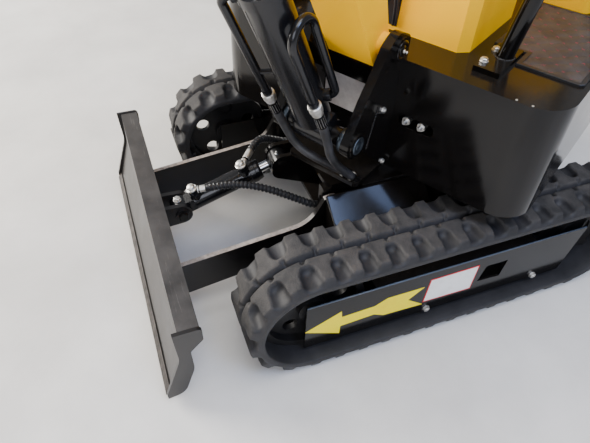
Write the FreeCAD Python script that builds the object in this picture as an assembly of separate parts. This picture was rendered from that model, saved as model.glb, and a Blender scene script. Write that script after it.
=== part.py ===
# Mini excavator of the one tonne class: rubber tracks, fixed boom bracket, open operator's place.
# Millimetres. Undercarriage: front toward -Y, left side +X, +Z up, the slew axis upright.
# The upper structure is drawn facing front and is then turned about the slew axis to its rest place.
# Side profiles are given as (u, z): u is the distance forward of the slew axis, z the height.
# Lateral places are v, to the machine's left.
import FreeCAD, Part
import math
import os

V = FreeCAD.Vector

# Place of the slew axis in the part's own frame, so that the whole part's box is centred
SLEW_X = -124.0
SLEW_Y = 317.0
SLEW_ANGLE = 31.0

# General fits
FIT = 0.05
SEAT = 0.3
PIN_HEAD = 6.0

# Tracks: rubber belt of 37 links on an idler in front and a sprocket behind
TRACK_OVERALL_WIDTH = 1000.0
BELT_WIDTH = 180.0
BELT_THICKNESS = 18.0
LINK_PITCH = 72.0
LINK_COUNT = 37
LUG_HEIGHT = 22.0
LUG_LENGTH = 46.0
LUG_WIDTH = 80.0
LUG_ROW_OFFSET = 46.0
LUG_ROOT = 3.0
LUG_TAPER = 5.0
LUG_CORNER = 16.0
WHEEL_RADIUS = 147.5
PITCH_RADIUS = WHEEL_RADIUS + BELT_THICKNESS / 2
WHEELBASE = (LINK_COUNT * LINK_PITCH - 2 * math.pi * PITCH_RADIUS) / 2
WHEEL_HEIGHT = WHEEL_RADIUS + BELT_THICKNESS + LUG_HEIGHT
TRACK_CENTRE = (TRACK_OVERALL_WIDTH - BELT_WIDTH) / 2
IDLER_U = WHEELBASE / 2
SPROCKET_U = -WHEELBASE / 2

# Idler, sprocket and rollers
IDLER_WIDTH = 60.0
IDLER_RIM = 20.0
IDLER_WEB = 16.0
IDLER_HOLES = 5
IDLER_HOLE_CIRCLE = 86.0
IDLER_HOLE_RADIUS = 22.0
AXLE_RADIUS = 18.0
HUB_RADIUS = 38.0
SPROCKET_WIDTH = 30.0
SPROCKET_TEETH = 13
SPROCKET_ROOT = 122.0
TOOTH_WIDTH = 30.0
MOTOR_RADIUS = 72.0
MOTOR_REACH = 60.0
ROLLER_RADIUS = 38.0
ROLLER_WIDTH = 72.0
ROLLER_RIM = 16.0
ROLLER_CORE = 14.0
ROLLER_PLACES = (74.0, -299.0)
ROLLER_BOLT = 12.0

# Track frames: an outer and an inner side plate with a cover between the wheels
FRAME_HALF_WIDTH = 55.0
FRAME_OUTER = TRACK_CENTRE + FRAME_HALF_WIDTH
FRAME_INNER = TRACK_CENTRE - FRAME_HALF_WIDTH
FRAME_WALL = 6.0
FRAME_BOTTOM = 60.0
FRAME_TOP = 236.0
FRAME_FRONT = 448.0
FRAME_REAR_TOP = -430.0
FRAME_REAR_BOTTOM = -400.0
FRAME_COVER_END = 255.0
FRAME_LIP = (24.0, 18.0)
FRAME_TIE = (-60.0, -40.0)
YOKE_REACH = 230.0
YOKE_BAR = 12.0
YOKE_HALF_HEIGHT = 26.0
WINDOW = ((-96, 191), (-168, 190), (-160, 124), (-83, 128))

# Car body between the track frames
BODY_TOP = 372.0
BODY_PLATE = 12.0
BODY_HALF_LENGTH = 290.0
BODY_HALF_WIDTH = 217.0
BODY_FRONT_WALL = 235.0
BODY_BOTTOM = 190.0
BODY_SHELL_HALF_WIDTH = 170.0
BODY_SHELL_WALL = 10.0
BODY_LIP = 31.0
TOW_EYE = (-322.0, 0.0)
TOW_EYE_RADIUS = 15.0
TOW_PLATE_BOTTOM = 254.0
TOW_PLATE = 16.0
LEG_FRONT = 300.0
LEG_GAP = 10.0
LEG_OUT_TOP = 262.0
LEG_OUT_BOTTOM = 130.0
LEG_ROOT_BOTTOM = 190.0

# Slew ring
RING_OUTER = 215.0
RING_SPLIT = 180.0
RING_INNER = 130.0
RING_FLOOR = BODY_TOP
RING_OUTER_TOP = 402.0
RING_TOP = 425.0

# Blade: curved mouldboard, top flange, end plates, two arms, cutting edge
BLADE_WIDTH = 930.0
BLADE_TOP = 284.0
BLADE_BOTTOM = 36.0
BLADE_PLATE = 8.0
END_PLATE = 10.0
FLANGE_FRONT = 764.0
FLANGE_REAR = 712.0
FLANGE_DEPTH = 12.0
ARM_OUT = 213.0
ARM_PLATE = 14.0
BLADE_PIVOT = (282.0, 268.0)
BLADE_PIN = 15.0
BLADE_PIVOT_RADIUS = 36.0
CYL_EAR_GAP = 44.0
CYL_EAR = 14.0
BLADE_CYL_BASE = (664.0, 236.0)
BLADE_CYL_EYE = (362.0, 336.0)
BLADE_CYL_SHORTEST = 292.0
BLADE_CYL_RADIUS = 29.0
BLADE_PORTS = (58.0, 212.0)
BLADE_PORT_V = 18.0
BANJO_RISE = 52.0
BLADE_HOSE_RADIUS = 8.5
FRONT_FERRULE = 38.0
REAR_FERRULE = 62.0
GLAND_REACH = 12.0

# Upper frame: deck on a deep skirt
DECK_TOP = 730.0
DECK_PLATE = 6.0
DECK_FRONT = 228.0
DECK_HALF_WIDTH = 483.0
DECK_CORNER = 85.0
DECK_REAR = -660.0
SKIRT_WALL = 5.0
SKIRT_BOTTOM = 425.0
FLOOR_PLATE = 12.0
POCKET_REAR = 186.0
POCKET_BOTTOM = 686.0
SLOT_U = 176.0
SLOT_Z = 576.0
SLOT_LENGTH = 96.0
SLOT_HEIGHT = 32.0
FITTING_PLATE = 192.0
FITTING_PLACES = (150.0, 191.0)
FITTING_Z = 579.0

# Boom bracket, boom and its cylinder
BRACKET_OUT = 110.0
BRACKET_PLATE = 22.0
BOOM_FOOT = (250.0, 760.0)
BOOM_PIN = 17.5
BRACKET_SHELF = 360.0
BRACKET_SHELF_PLATE = 12.0
LOCK_HOLE = (297.0, 731.0)
LOCK_HOLE_RADIUS = 8.0
BOOM_CYL_BASE = (389.0, 579.0)
BOOM_CYL_ANGLE = 63.0
BOOM_CYL_LENGTH = 745.0
CYL_PIN = 15.0
BRACKET_NOSE = 36.0
BOOM_CYL_RADIUS = 43.0
BOOM_CYL_SHORTEST = 490.0
PIPE_RADIUS = 9.5
BOOM_HOSE_RADIUS = 10.5
# Pipes beside the boom cylinder: (lateral, toward the front) of each run
LONG_PIPE = (-70.0, 39.0)
LOOP_REAR = (58.0, -36.0)
LOOP_FRONT = (60.0, 32.0)
LONG_PORT = 426.0
LONG_COUPLING = (158.0, 79.0)
LOOP_PORT = 122.0
LOOP_TOP = 369.0
LOOP_COUPLING = (185.0, 95.0)
BOOM_ANGLE = 61.0
BOOM_BEND = 48.0
BOOM_LOWER = 665.0
BOOM_UPPER = 620.0
BOOM_WIDTH = 126.0
BOOM_CHEEK = 10.0
BOOM_DEPTH_FOOT = 88.0
BOOM_DEPTH_BEND = 140.0
BOOM_DEPTH_TIP = 86.0
BOOM_TIP_BOSS = 44.0
ARM_CYL_STAND = 140.0

# Arm, its horn and its cylinder
ARM_ANGLE = -70.0
ARM_LENGTH = 660.0
ARM_WIDTH = 84.0
ARM_HORN = 135.0
ARM_HORN_ANGLE = 88.0
ARM_DEPTH_ROOT = 150.0
ARM_DEPTH_TIP = 78.0
BUCKET_CYL_ALONG = 60.0
BUCKET_CYL_STAND = 110.0

# Bucket linkage: rocker on the arm, link to the bucket's ear
ROCKER_BACK = 128.0
ROCKER_STAND = 15.0
ROCKER_LENGTH = 125.0
LINK_LENGTH = 162.0
EAR_DISTANCE = 85.0
EAR_ANGLE = 31.5
BUCKET_REST_TURN = 38.9
BUCKET_WIDTH = 380.0
BUCKET_WALL = 8.0
BUCKET_PIN = 15.0
LINK_PLATE = 12.0

# Console, seat, hood, counterweight and canopy
CONSOLE_HALF_WIDTH = 213.0
CONSOLE_FRONT = 120.0
CONSOLE_REAR = -150.0
CONSOLE_BOTTOM = DECK_TOP
CONSOLE_TOP = 1060.0
CONSOLE_CORNER = 23.0
CONSOLE_BEVEL = 40.0
HOOD_FRONT = -300.0
HOOD_REAR = -655.0
HOOD_HALF_WIDTH = 365.0
HOOD_TOP = 1010.0
HOOD_WALL = 4.0
ENGINE_BLOCK = (-620.0, -360.0, -200.0, 200.0)
ENGINE_HEIGHT = 210.0
WEIGHT_REAR = -745.0
WEIGHT_TOP = 800.0
SEAT_HALF_WIDTH = 225.0
SEAT_FRONT = -310.0
SEAT_REAR = -650.0
POST_RADIUS = 19.0
POST_BASE = (84.0, 290.0)
POST_LEAN = 8.0
REAR_POST_V = 330.0
ROOF_FRONT = 190.0
ROOF_REAR = -790.0
ROOF_HALF_WIDTH = 430.0
ROOF_SHEET = 4.0
ROOF_BOTTOM = 2060.0
ROOF_THICKNESS = 40.0


def at(u, v, z):
    return V(v, -u, z)


def direction(angle):
    return math.cos(math.radians(angle)), math.sin(math.radians(angle))


def step(point, angle, along, up=0.0):
    c, s = direction(angle)
    return point[0] + along * c - up * s, point[1] + along * s + up * c


def distance(a, b):
    return math.hypot(b[0] - a[0], b[1] - a[1])


def bearing(a, b):
    return math.degrees(math.atan2(b[1] - a[1], b[0] - a[0]))


def meeting(a, ra, b, rb, side):
    # The point that lies ra from a and rb from b, on the given side of the line a to b
    d = distance(a, b)
    along = (ra * ra - rb * rb + d * d) / (2 * d)
    return step(a, bearing(a, b), along, side * math.sqrt(ra * ra - along * along))


# Pins of the working arm at rest, each from the one before it, and the outlines below use them
BOOM_BEND_POINT = step(BOOM_FOOT, BOOM_ANGLE, BOOM_LOWER)
BOOM_UPPER_ANGLE = BOOM_ANGLE - BOOM_BEND
BOOM_TIP = step(BOOM_BEND_POINT, BOOM_UPPER_ANGLE, BOOM_UPPER)
BOOM_CYL_EYE = step(BOOM_CYL_BASE, BOOM_CYL_ANGLE, BOOM_CYL_LENGTH)
ARM_CYL_BASE = step(BOOM_BEND_POINT, BOOM_ANGLE - BOOM_BEND / 2, 0.0, ARM_CYL_STAND)
ARM_CYL_EYE = step(BOOM_TIP, ARM_HORN_ANGLE, ARM_HORN)
ARM_TIP = step(BOOM_TIP, ARM_ANGLE, ARM_LENGTH)
BUCKET_CYL_BASE = step(BOOM_TIP, ARM_ANGLE, BUCKET_CYL_ALONG, BUCKET_CYL_STAND)
ROCKER_PIVOT = step(ARM_TIP, ARM_ANGLE, -ROCKER_BACK, ROCKER_STAND)
BUCKET_EAR = step(ARM_TIP, EAR_ANGLE, EAR_DISTANCE)
ROCKER_PIN = meeting(ROCKER_PIVOT, ROCKER_LENGTH, BUCKET_EAR, LINK_LENGTH, 1.0)


def box(u0, u1, v0, v1, z0, z1):
    return Part.makeBox(v1 - v0, u1 - u0, z1 - z0, V(v0, -u1, z0))


def rod_across(point, radius, v0, v1):
    return Part.makeCylinder(radius, v1 - v0, at(point[0], v0, point[1]), V(1, 0, 0))


def rounded_wire(corners, to_space):
    # Corners are (a, b) or (a, b, radius); to_space places a flat point in space
    count = len(corners)
    starts = []
    ends = []
    middles = []
    for n, corner in enumerate(corners):
        here = V(corner[0], corner[1], 0)
        radius = corner[2] if len(corner) > 2 else 0.0
        if radius == 0.0:
            starts.append(here)
            ends.append(here)
            middles.append(None)
            continue
        before = V(corners[n - 1][0], corners[n - 1][1], 0) - here
        after = V(corners[(n + 1) % count][0], corners[(n + 1) % count][1], 0) - here
        half = before.getAngle(after) / 2
        back = radius / math.tan(half)
        before.normalize()
        after.normalize()
        bisector = before + after
        bisector.normalize()
        centre = here + bisector * (radius / math.sin(half))
        starts.append(here + before * back)
        ends.append(here + after * back)
        middles.append(centre - bisector * radius)
    edges = []
    for n in range(count):
        if middles[n] is not None:
            arc = [to_space(p.x, p.y) for p in (starts[n], middles[n], ends[n])]
            edges.append(Part.Arc(*arc).toShape())
        line_start = ends[n]
        line_end = starts[(n + 1) % count]
        if line_start.distanceToPoint(line_end) > 1e-6:
            a = to_space(line_start.x, line_start.y)
            b = to_space(line_end.x, line_end.y)
            edges.append(Part.LineSegment(a, b).toShape())
    return Part.Wire(edges)


def plate(corners, v0, v1):
    # A side profile of (u, z) corners, from v0 to v1 across the machine
    wire = rounded_wire(corners, lambda u, z: at(u, v0, z))
    return Part.Face(wire).extrude(V(v1 - v0, 0, 0))


def slab(corners, z0, z1):
    # A plan profile of (u, v) corners, from z0 to z1
    wire = rounded_wire(corners, lambda u, v: at(u, v, z0))
    return Part.Face(wire).extrude(V(0, 0, z1 - z0))


def pieces_of(shape):
    return Part.makeCompound(shape.Solids) if len(shape.Solids) > 1 else shape.Solids[0]


def fused(first, *rest):
    shape = first.fuse(list(rest)) if rest else first
    return pieces_of(shape.removeSplitter())


def mirrored(shape):
    return shape.mirror(V(0, 0, 0), V(1, 0, 0))


def both(shape):
    return Part.makeCompound([shape, mirrored(shape)])


def turned(shape, point, angle):
    # Turn about a lateral axis through a (u, z) point; positive lifts what lies forward
    copy = shape.copy()
    copy.rotate(at(point[0], 0, point[1]), V(-1, 0, 0), angle)
    return copy


nodes = {}


def on_base(name, shape):
    moved = shape.copy()
    moved.translate(V(SLEW_X, SLEW_Y, 0))
    nodes[name] = moved


def on_upper(name, shape):
    moved = shape.copy()
    moved.rotate(V(0, 0, 0), V(0, 0, 1), SLEW_ANGLE)
    moved.translate(V(SLEW_X, SLEW_Y, 0))
    nodes[name] = moved


def lever(a, b, radius_a, radius_b, v0, v1):
    # A flat link between two pins: round ends joined by their common tangents
    d = distance(a, b)
    lean = math.degrees(math.acos((radius_a - radius_b) / d))
    line = bearing(a, b)
    points = [
        step(a, line + lean, radius_a),
        step(a, line - lean, radius_a),
        step(b, line - lean, radius_b),
        step(b, line + lean, radius_b),
    ]
    web = plate(points, v0, v1)
    return fused(web, rod_across(a, radius_a, v0, v1), rod_across(b, radius_b, v0, v1))


def hydraulic_cylinder(
    base,
    eye,
    shortest,
    barrel_radius,
    rod_radius,
    eye_radius,
    eye_width,
    pin,
    end_gap=16.0,
):
    # Barrel with a bored eye at its base, and rod whose eye holds its own length of pin
    length = distance(base, eye)
    angle = bearing(base, eye)
    c, s = direction(angle)
    axis = V(0, -c, s)
    half = eye_width / 2

    def along(distance_from_base):
        u, z = step(base, angle, distance_from_base)
        return at(u, 0, z)

    barrel_start = eye_radius + 18.0
    barrel_end = shortest - eye_radius - end_gap
    floor_place = barrel_start + 12.0
    rod_length = shortest - floor_place - 6.0
    barrel = Part.makeCylinder(barrel_radius, barrel_end - barrel_start, along(barrel_start), axis)
    neck = eye_radius * 0.7
    neck_corners = [
        step(base, angle, 0, -neck),
        step(base, angle, 0, neck),
        step(base, angle, barrel_start + 1, neck),
        step(base, angle, barrel_start + 1, -neck),
    ]
    barrel = barrel.fuse(plate(neck_corners, -half, half))
    gland = Part.makeCylinder(barrel_radius + 3.0, 26.0, along(barrel_end - 26.0), axis)
    barrel = fused(barrel, gland, rod_across(base, eye_radius, -half, half))
    barrel = barrel.cut(rod_across(base, pin + FIT, -half - 1, half + 1))
    bore = Part.makeCylinder(rod_radius + FIT, barrel_end, along(floor_place), axis)
    barrel = pieces_of(barrel.cut(bore))
    rod = Part.makeCylinder(rod_radius, rod_length, along(length - rod_length), axis)
    rod = fused(rod, rod_across(eye, eye_radius, -half, half))
    return barrel, rod


def clevis_pin(point, radius, v_out, head):
    # A pin right across a clevis with a head on each end
    pin = rod_across(point, radius, -v_out - PIN_HEAD, v_out + PIN_HEAD)
    heads = both(rod_across(point, head, v_out, v_out + PIN_HEAD))
    return fused(pin, *heads.Solids)


def tube(points, radius, bends=None):
    # A round bar along straight runs joined by tangent arcs.
    # A hose has no given bends: each arc takes 0.45 of the shorter run beside it.
    edges = []
    radii = []
    start = points[0]
    for n in range(1, len(points) - 1):
        before = points[n - 1] - points[n]
        after = points[n + 1] - points[n]
        half = before.getAngle(after) / 2
        shorter = min(before.Length, after.Length)
        bend = bends[n - 1] if bends else 0.45 * shorter * math.tan(half)
        radii.append(round(bend))
        before.normalize()
        after.normalize()
        bisector = before + after
        bisector.normalize()
        arc_start = points[n] + before * (bend / math.tan(half))
        arc_end = points[n] + after * (bend / math.tan(half))
        arc_middle = points[n] + bisector * (bend / math.sin(half) - bend)
        edges.append(Part.LineSegment(start, arc_start).toShape())
        edges.append(Part.Arc(arc_start, arc_middle, arc_end).toShape())
        start = arc_end
    edges.append(Part.LineSegment(start, points[-1]).toShape())
    path = Part.Wire(edges)
    section = Part.Wire([Part.makeCircle(radius, points[0], points[1] - points[0])])
    return path.makePipeShell([section], True, False), radii, path.Length


def hexagon_bar(start, end, corner_radius):
    axis = end - start
    across = axis.cross(V(1, 0, 0))
    across.normalize()
    beside = axis.cross(across)
    beside.normalize()
    corners = []
    for n in range(7):
        c, s = direction(60 * n)
        corners.append(start + across * (corner_radius * c) + beside * (corner_radius * s))
    return Part.Face(Part.makePolygon(corners)).extrude(axis)


def bar_between(start, end, radius):
    return Part.makeCylinder(radius, start.distanceToPoint(end), start, end - start)


def hose_coupling(top, bottom):
    # Collar under the pipe, hexagon, then the swaged ferrule that the hose leaves
    run = bottom - top
    collar_end = top + run * 0.16
    hexagon_end = top + run * 0.38
    collar = bar_between(top, collar_end, PIPE_RADIUS + 2)
    hexagon = hexagon_bar(collar_end, hexagon_end, PIPE_RADIUS + 5)
    ferrule = bar_between(hexagon_end, bottom, PIPE_RADIUS + 3)
    return [collar, hexagon, ferrule]


def beside_barrel(along, lateral, front):
    # A place beside the boom cylinder's barrel, from its base pin
    u, z = step(BOOM_CYL_BASE, BOOM_CYL_ANGLE, along, -front)
    return at(u, lateral, z)


def boom_cylinder_pipes():
    pieces = []
    # Bosses on the barrel, as (along, lateral and front of the pipe that starts there)
    for along, run in ((LONG_PORT, LONG_PIPE), (LOOP_PORT, LOOP_REAR)):
        reach = math.hypot(*run)
        low = (BOOM_CYL_RADIUS - 3) / reach
        high = (BOOM_CYL_RADIUS + 13) / reach
        foot = beside_barrel(along, run[0] * low, run[1] * low)
        top = beside_barrel(along, run[0] * high, run[1] * high)
        pieces.append(bar_between(foot, top, PIPE_RADIUS + 4.5))
    reach = math.hypot(*LONG_PIPE)
    start = (BOOM_CYL_RADIUS + 8) / reach
    long_points = [
        beside_barrel(LONG_PORT, LONG_PIPE[0] * start, LONG_PIPE[1] * start),
        beside_barrel(LONG_PORT, *LONG_PIPE),
        beside_barrel(LONG_COUPLING[0], *LONG_PIPE),
    ]
    pieces.append(tube(long_points, PIPE_RADIUS, [20.0])[0])
    pieces += hose_coupling(
        beside_barrel(LONG_COUPLING[0], *LONG_PIPE),
        beside_barrel(LONG_COUPLING[1], *LONG_PIPE),
    )
    clamp = (BOOM_CYL_RADIUS - 3) / reach
    clamp_foot = beside_barrel(218.0, LONG_PIPE[0] * clamp, LONG_PIPE[1] * clamp)
    pieces.append(bar_between(clamp_foot, beside_barrel(218.0, *LONG_PIPE), 6.0))
    reach = math.hypot(*LOOP_REAR)
    start = (BOOM_CYL_RADIUS + 5) / reach
    bend = (LOOP_FRONT[1] - LOOP_REAR[1]) / 2 - 0.1
    loop_points = [
        beside_barrel(LOOP_PORT, LOOP_REAR[0] * start, LOOP_REAR[1] * start),
        beside_barrel(LOOP_PORT, *LOOP_REAR),
        beside_barrel(LOOP_TOP, *LOOP_REAR),
        beside_barrel(LOOP_TOP, *LOOP_FRONT),
        beside_barrel(LOOP_COUPLING[0], *LOOP_FRONT),
    ]
    pieces.append(tube(loop_points, PIPE_RADIUS, [17.0, bend, bend])[0])
    pieces += hose_coupling(
        beside_barrel(LOOP_COUPLING[0], *LOOP_FRONT),
        beside_barrel(LOOP_COUPLING[1], *LOOP_FRONT),
    )
    return pieces


# Free hoses as (u, v, z) of their control points, on the way from the coupling to the gland.
# The first two points of a hose come from its coupling or ferrule, so that it leaves straight.
BOOM_HOSE_EXIT = 49.0
BOOM_HOSE_RUNS = {
    "boom_hose_left": [(412.0, 63.0, 514.0), (352.0, 90.0, 449.0)],
    "boom_hose_right": [(420.0, -38.0, 522.0), (402.0, 22.0, 497.0), (350.0, 61.0, 449.0)],
}
FRONT_HOSE_RUN = [
    (512.0, 46.0, 322.0),
    (432.0, 80.0, 312.0),
    (350.0, 128.0, 286.0),
    (298.0, 150.0, 260.0),
]
REAR_HOSE_RUN = [(370.0, -82.0, 364.0), (330.0, -84.0, 348.0), (290.0, -76.0, 334.0)]
# The rear ferrule leaves its banjo ring in the ring's own plane, as (along the barrel, lateral)
REAR_FERRULE_AIM = (52.0, -54.0)
REAR_HOSE_EXIT = 46.0


def beside_blade_barrel(along, rise):
    # A place above the blade cylinder's barrel, from its base pin
    u, z = step(BLADE_CYL_BASE, bearing(BLADE_CYL_BASE, BLADE_CYL_EYE), along, -rise)
    return at(u, BLADE_PORT_V, z)


def blade_hose_starts():
    # End of the front ferrule, end of the rear ferrule, and the first turn of the rear hose
    front = beside_blade_barrel(BLADE_PORTS[0], BANJO_RISE)
    toward = at(*FRONT_HOSE_RUN[0]) - front
    toward.normalize()
    front_end = front + toward * FRONT_FERRULE
    rear = beside_blade_barrel(BLADE_PORTS[1], BANJO_RISE)
    along, lateral = REAR_FERRULE_AIM
    toward = beside_blade_barrel(BLADE_PORTS[1] + along, BANJO_RISE) + V(lateral, 0, 0) - rear
    toward.normalize()
    rear_end = rear + toward * REAR_FERRULE
    return front_end, rear_end, rear_end + toward * REAR_HOSE_EXIT


def blade_cylinder_ports():
    # Boss, banjo ring and domed bolt of each port, and its ferrule
    pieces = []
    front_end, rear_end, rear_turn = blade_hose_starts()
    # Stations of a port as (low rise, high rise, radius)
    stations = ((18, 44, 11), (43, 61, 15), (60, 67, 11), (66, 70, 8))
    for along in BLADE_PORTS:
        for low, high, radius in stations:
            low_point = beside_blade_barrel(along, low)
            pieces.append(bar_between(low_point, beside_blade_barrel(along, high), radius))
    for along, end in zip(BLADE_PORTS, (front_end, rear_end)):
        middle = beside_blade_barrel(along, BANJO_RISE)
        pieces.append(bar_between(middle, end, BLADE_HOSE_RADIUS + 1.5))
    return pieces


def report_hose(name, solid, radii, length, radius):
    share = solid.Volume / (math.pi * radius * radius * length)
    print(
        name,
        "arc radii",
        radii,
        "length",
        round(length, 1),
        "volume against section times length",
        round(share, 4),
    )
    return solid


def boom_hoses():
    hoses = {}
    couplings = {
        "boom_hose_left": (LOOP_COUPLING[1], LOOP_FRONT),
        "boom_hose_right": (LONG_COUPLING[1], LONG_PIPE),
    }
    for name, run in BOOM_HOSE_RUNS.items():
        along, beside = couplings[name]
        points = [beside_barrel(along, *beside), beside_barrel(along - BOOM_HOSE_EXIT, *beside)]
        points += [at(*place) for place in run]
        solid, radii, length = tube(points, BOOM_HOSE_RADIUS)
        hoses[name] = report_hose(name, solid, radii, length, BOOM_HOSE_RADIUS)
    return hoses


def blade_hoses():
    front_end, rear_end, rear_turn = blade_hose_starts()
    starts = {"blade_hose_front": [front_end], "blade_hose_rear": [rear_end, rear_turn]}
    hoses = {}
    gland_face = BODY_FRONT_WALL + GLAND_REACH
    for name, run in (("blade_hose_front", FRONT_HOSE_RUN), ("blade_hose_rear", REAR_HOSE_RUN)):
        gland = at(gland_face, run[-1][1], run[-1][2])
        points = starts[name] + [at(*place) for place in run] + [gland]
        solid, radii, length = tube(points, BLADE_HOSE_RADIUS)
        hoses[name] = report_hose(name, solid, radii, length, BLADE_HOSE_RADIUS)
    return hoses


def hose_gland(face, toward, radius, reach):
    # A short sleeve that a hose enters; its face is square to the hose
    axis = toward - face
    axis.normalize()
    return bar_between(face, face + axis * reach, radius)


def track_loop(radius):
    # The racetrack outline of the belt at a given radius about the two wheels
    top = WHEEL_HEIGHT + radius
    bottom = WHEEL_HEIGHT - radius
    front = at(IDLER_U + radius, 0, WHEEL_HEIGHT)
    rear = at(SPROCKET_U - radius, 0, WHEEL_HEIGHT)
    edges = [
        Part.LineSegment(at(SPROCKET_U, 0, top), at(IDLER_U, 0, top)).toShape(),
        Part.Arc(at(IDLER_U, 0, top), front, at(IDLER_U, 0, bottom)).toShape(),
        Part.LineSegment(at(IDLER_U, 0, bottom), at(SPROCKET_U, 0, bottom)).toShape(),
        Part.Arc(at(SPROCKET_U, 0, bottom), rear, at(SPROCKET_U, 0, top)).toShape(),
    ]
    return Part.Face(Part.Wire(edges))


def on_loop(travel, radius):
    # Place and outward bearing at a travel along the pitch line, from the top rear tangent point
    straight = WHEELBASE
    bend = math.pi * PITCH_RADIUS
    travel = travel % (2 * straight + 2 * bend)
    if travel < straight:
        return (SPROCKET_U + travel, WHEEL_HEIGHT + radius), 90.0
    travel -= straight
    if travel < bend:
        angle = 90.0 - math.degrees(travel / PITCH_RADIUS)
        return step((IDLER_U, WHEEL_HEIGHT), angle, radius), angle
    travel -= bend
    if travel < straight:
        return (IDLER_U - travel, WHEEL_HEIGHT - radius), -90.0
    travel -= straight
    angle = -90.0 - math.degrees(travel / PITCH_RADIUS)
    return step((SPROCKET_U, WHEEL_HEIGHT), angle, radius), angle


def lug(point, angle, middle, outward):
    # A block that tapers to its tread face, with its two outer corners cut
    rings = []
    for up, inset in ((-LUG_ROOT, 0.0), (LUG_HEIGHT, LUG_TAPER)):
        half = LUG_LENGTH / 2 - inset
        inner = -LUG_WIDTH / 2 + inset
        outer = LUG_WIDTH / 2 - inset
        # Outline as (along the belt, across it)
        outline = [
            (-half, inner),
            (half, inner),
            (half, outer - LUG_CORNER),
            (half - LUG_CORNER, outer),
            (-half + LUG_CORNER, outer),
            (-half, outer - LUG_CORNER),
        ]
        corners = []
        for along, across in outline:
            u, z = step(point, angle, up, along)
            corners.append(at(u, middle + outward * across, z))
        rings.append(Part.makePolygon(corners + corners[:1]))
    return Part.makeLoft(rings, True, True)


def track():
    belt_outer = WHEEL_RADIUS + BELT_THICKNESS
    v0 = TRACK_CENTRE - BELT_WIDTH / 2
    loop = track_loop(belt_outer).cut(track_loop(WHEEL_RADIUS))
    belt = loop.extrude(V(BELT_WIDTH, 0, 0))
    belt.translate(V(v0, 0, 0))
    lugs = []
    # Two staggered rows: (side of the belt, share of a pitch that it is shifted)
    for outward, shift in ((-1, 0.0), (1, 0.5)):
        middle = TRACK_CENTRE + outward * LUG_ROW_OFFSET
        for link in range(LINK_COUNT):
            point, angle = on_loop((link + shift) * LINK_PITCH, belt_outer)
            lugs.append(lug(point, angle, middle, outward))
    return pieces_of(belt.fuse(lugs))


def idler():
    centre = (IDLER_U, WHEEL_HEIGHT)
    half = IDLER_WIDTH / 2
    rim_radius = WHEEL_RADIUS - SEAT
    middle = TRACK_CENTRE
    wheel = rod_across(centre, rim_radius, middle - half, middle + half)
    for side in (-1, 1):
        inner = middle + side * IDLER_WEB / 2
        outer = middle + side * (half + 1)
        pocket = rod_across(centre, rim_radius - IDLER_RIM, min(inner, outer), max(inner, outer))
        wheel = wheel.cut(pocket)
    hub = rod_across(centre, HUB_RADIUS, middle - half, middle + half)
    wheel = wheel.fuse(hub)
    for hole in range(IDLER_HOLES):
        place = step(centre, 360.0 * hole / IDLER_HOLES + 20, IDLER_HOLE_CIRCLE)
        wheel = wheel.cut(rod_across(place, IDLER_HOLE_RADIUS, middle - half, middle + half))
    axle = rod_across(centre, AXLE_RADIUS, FRAME_INNER + FRAME_WALL, FRAME_OUTER - FRAME_WALL)
    return fused(wheel, axle)


def sprocket():
    centre = (SPROCKET_U, WHEEL_HEIGHT)
    v0 = TRACK_CENTRE - SPROCKET_WIDTH / 2
    v1 = TRACK_CENTRE + SPROCKET_WIDTH / 2
    wheel = rod_across(centre, SPROCKET_ROOT, v0, v1)
    teeth = []
    for tooth in range(SPROCKET_TEETH):
        angle = 360.0 * tooth / SPROCKET_TEETH
        half = TOOTH_WIDTH / 2
        corners = [
            step(centre, angle, SPROCKET_ROOT - 6, -half),
            step(centre, angle, WHEEL_RADIUS - 1.0, -half * 0.45),
            step(centre, angle, WHEEL_RADIUS - 1.0, half * 0.45),
            step(centre, angle, SPROCKET_ROOT - 6, half),
        ]
        teeth.append(plate(corners, v0, v1))
    hub = rod_across(centre, MOTOR_RADIUS * 0.8, v1, v1 + 14)
    return fused(wheel, hub, *teeth)


def travel_motor():
    centre = (SPROCKET_U, WHEEL_HEIGHT)
    flange = rod_across(
        centre,
        MOTOR_RADIUS + 12,
        FRAME_INNER + FRAME_WALL,
        FRAME_INNER + FRAME_WALL + 12,
    )
    body = rod_across(
        centre,
        MOTOR_RADIUS - SEAT,
        FRAME_INNER - MOTOR_REACH,
        TRACK_CENTRE - SPROCKET_WIDTH / 2,
    )
    return fused(flange, body)


def track_rollers():
    rollers = []
    height = LUG_HEIGHT + BELT_THICKNESS + ROLLER_RADIUS + SEAT
    half = ROLLER_WIDTH / 2
    for u in ROLLER_PLACES:
        centre = (u, height)
        rims = []
        for v0 in (TRACK_CENTRE - half, TRACK_CENTRE + half - ROLLER_RIM):
            rims.append(rod_across(centre, ROLLER_RADIUS, v0, v0 + ROLLER_RIM))
        core = rod_across(centre, ROLLER_CORE, TRACK_CENTRE - half, TRACK_CENTRE + half)
        axle = rod_across(centre, ROLLER_BOLT, FRAME_INNER + FRAME_WALL, FRAME_OUTER - FRAME_WALL)
        rollers.append(fused(core, axle, *rims))
    return rollers


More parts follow.
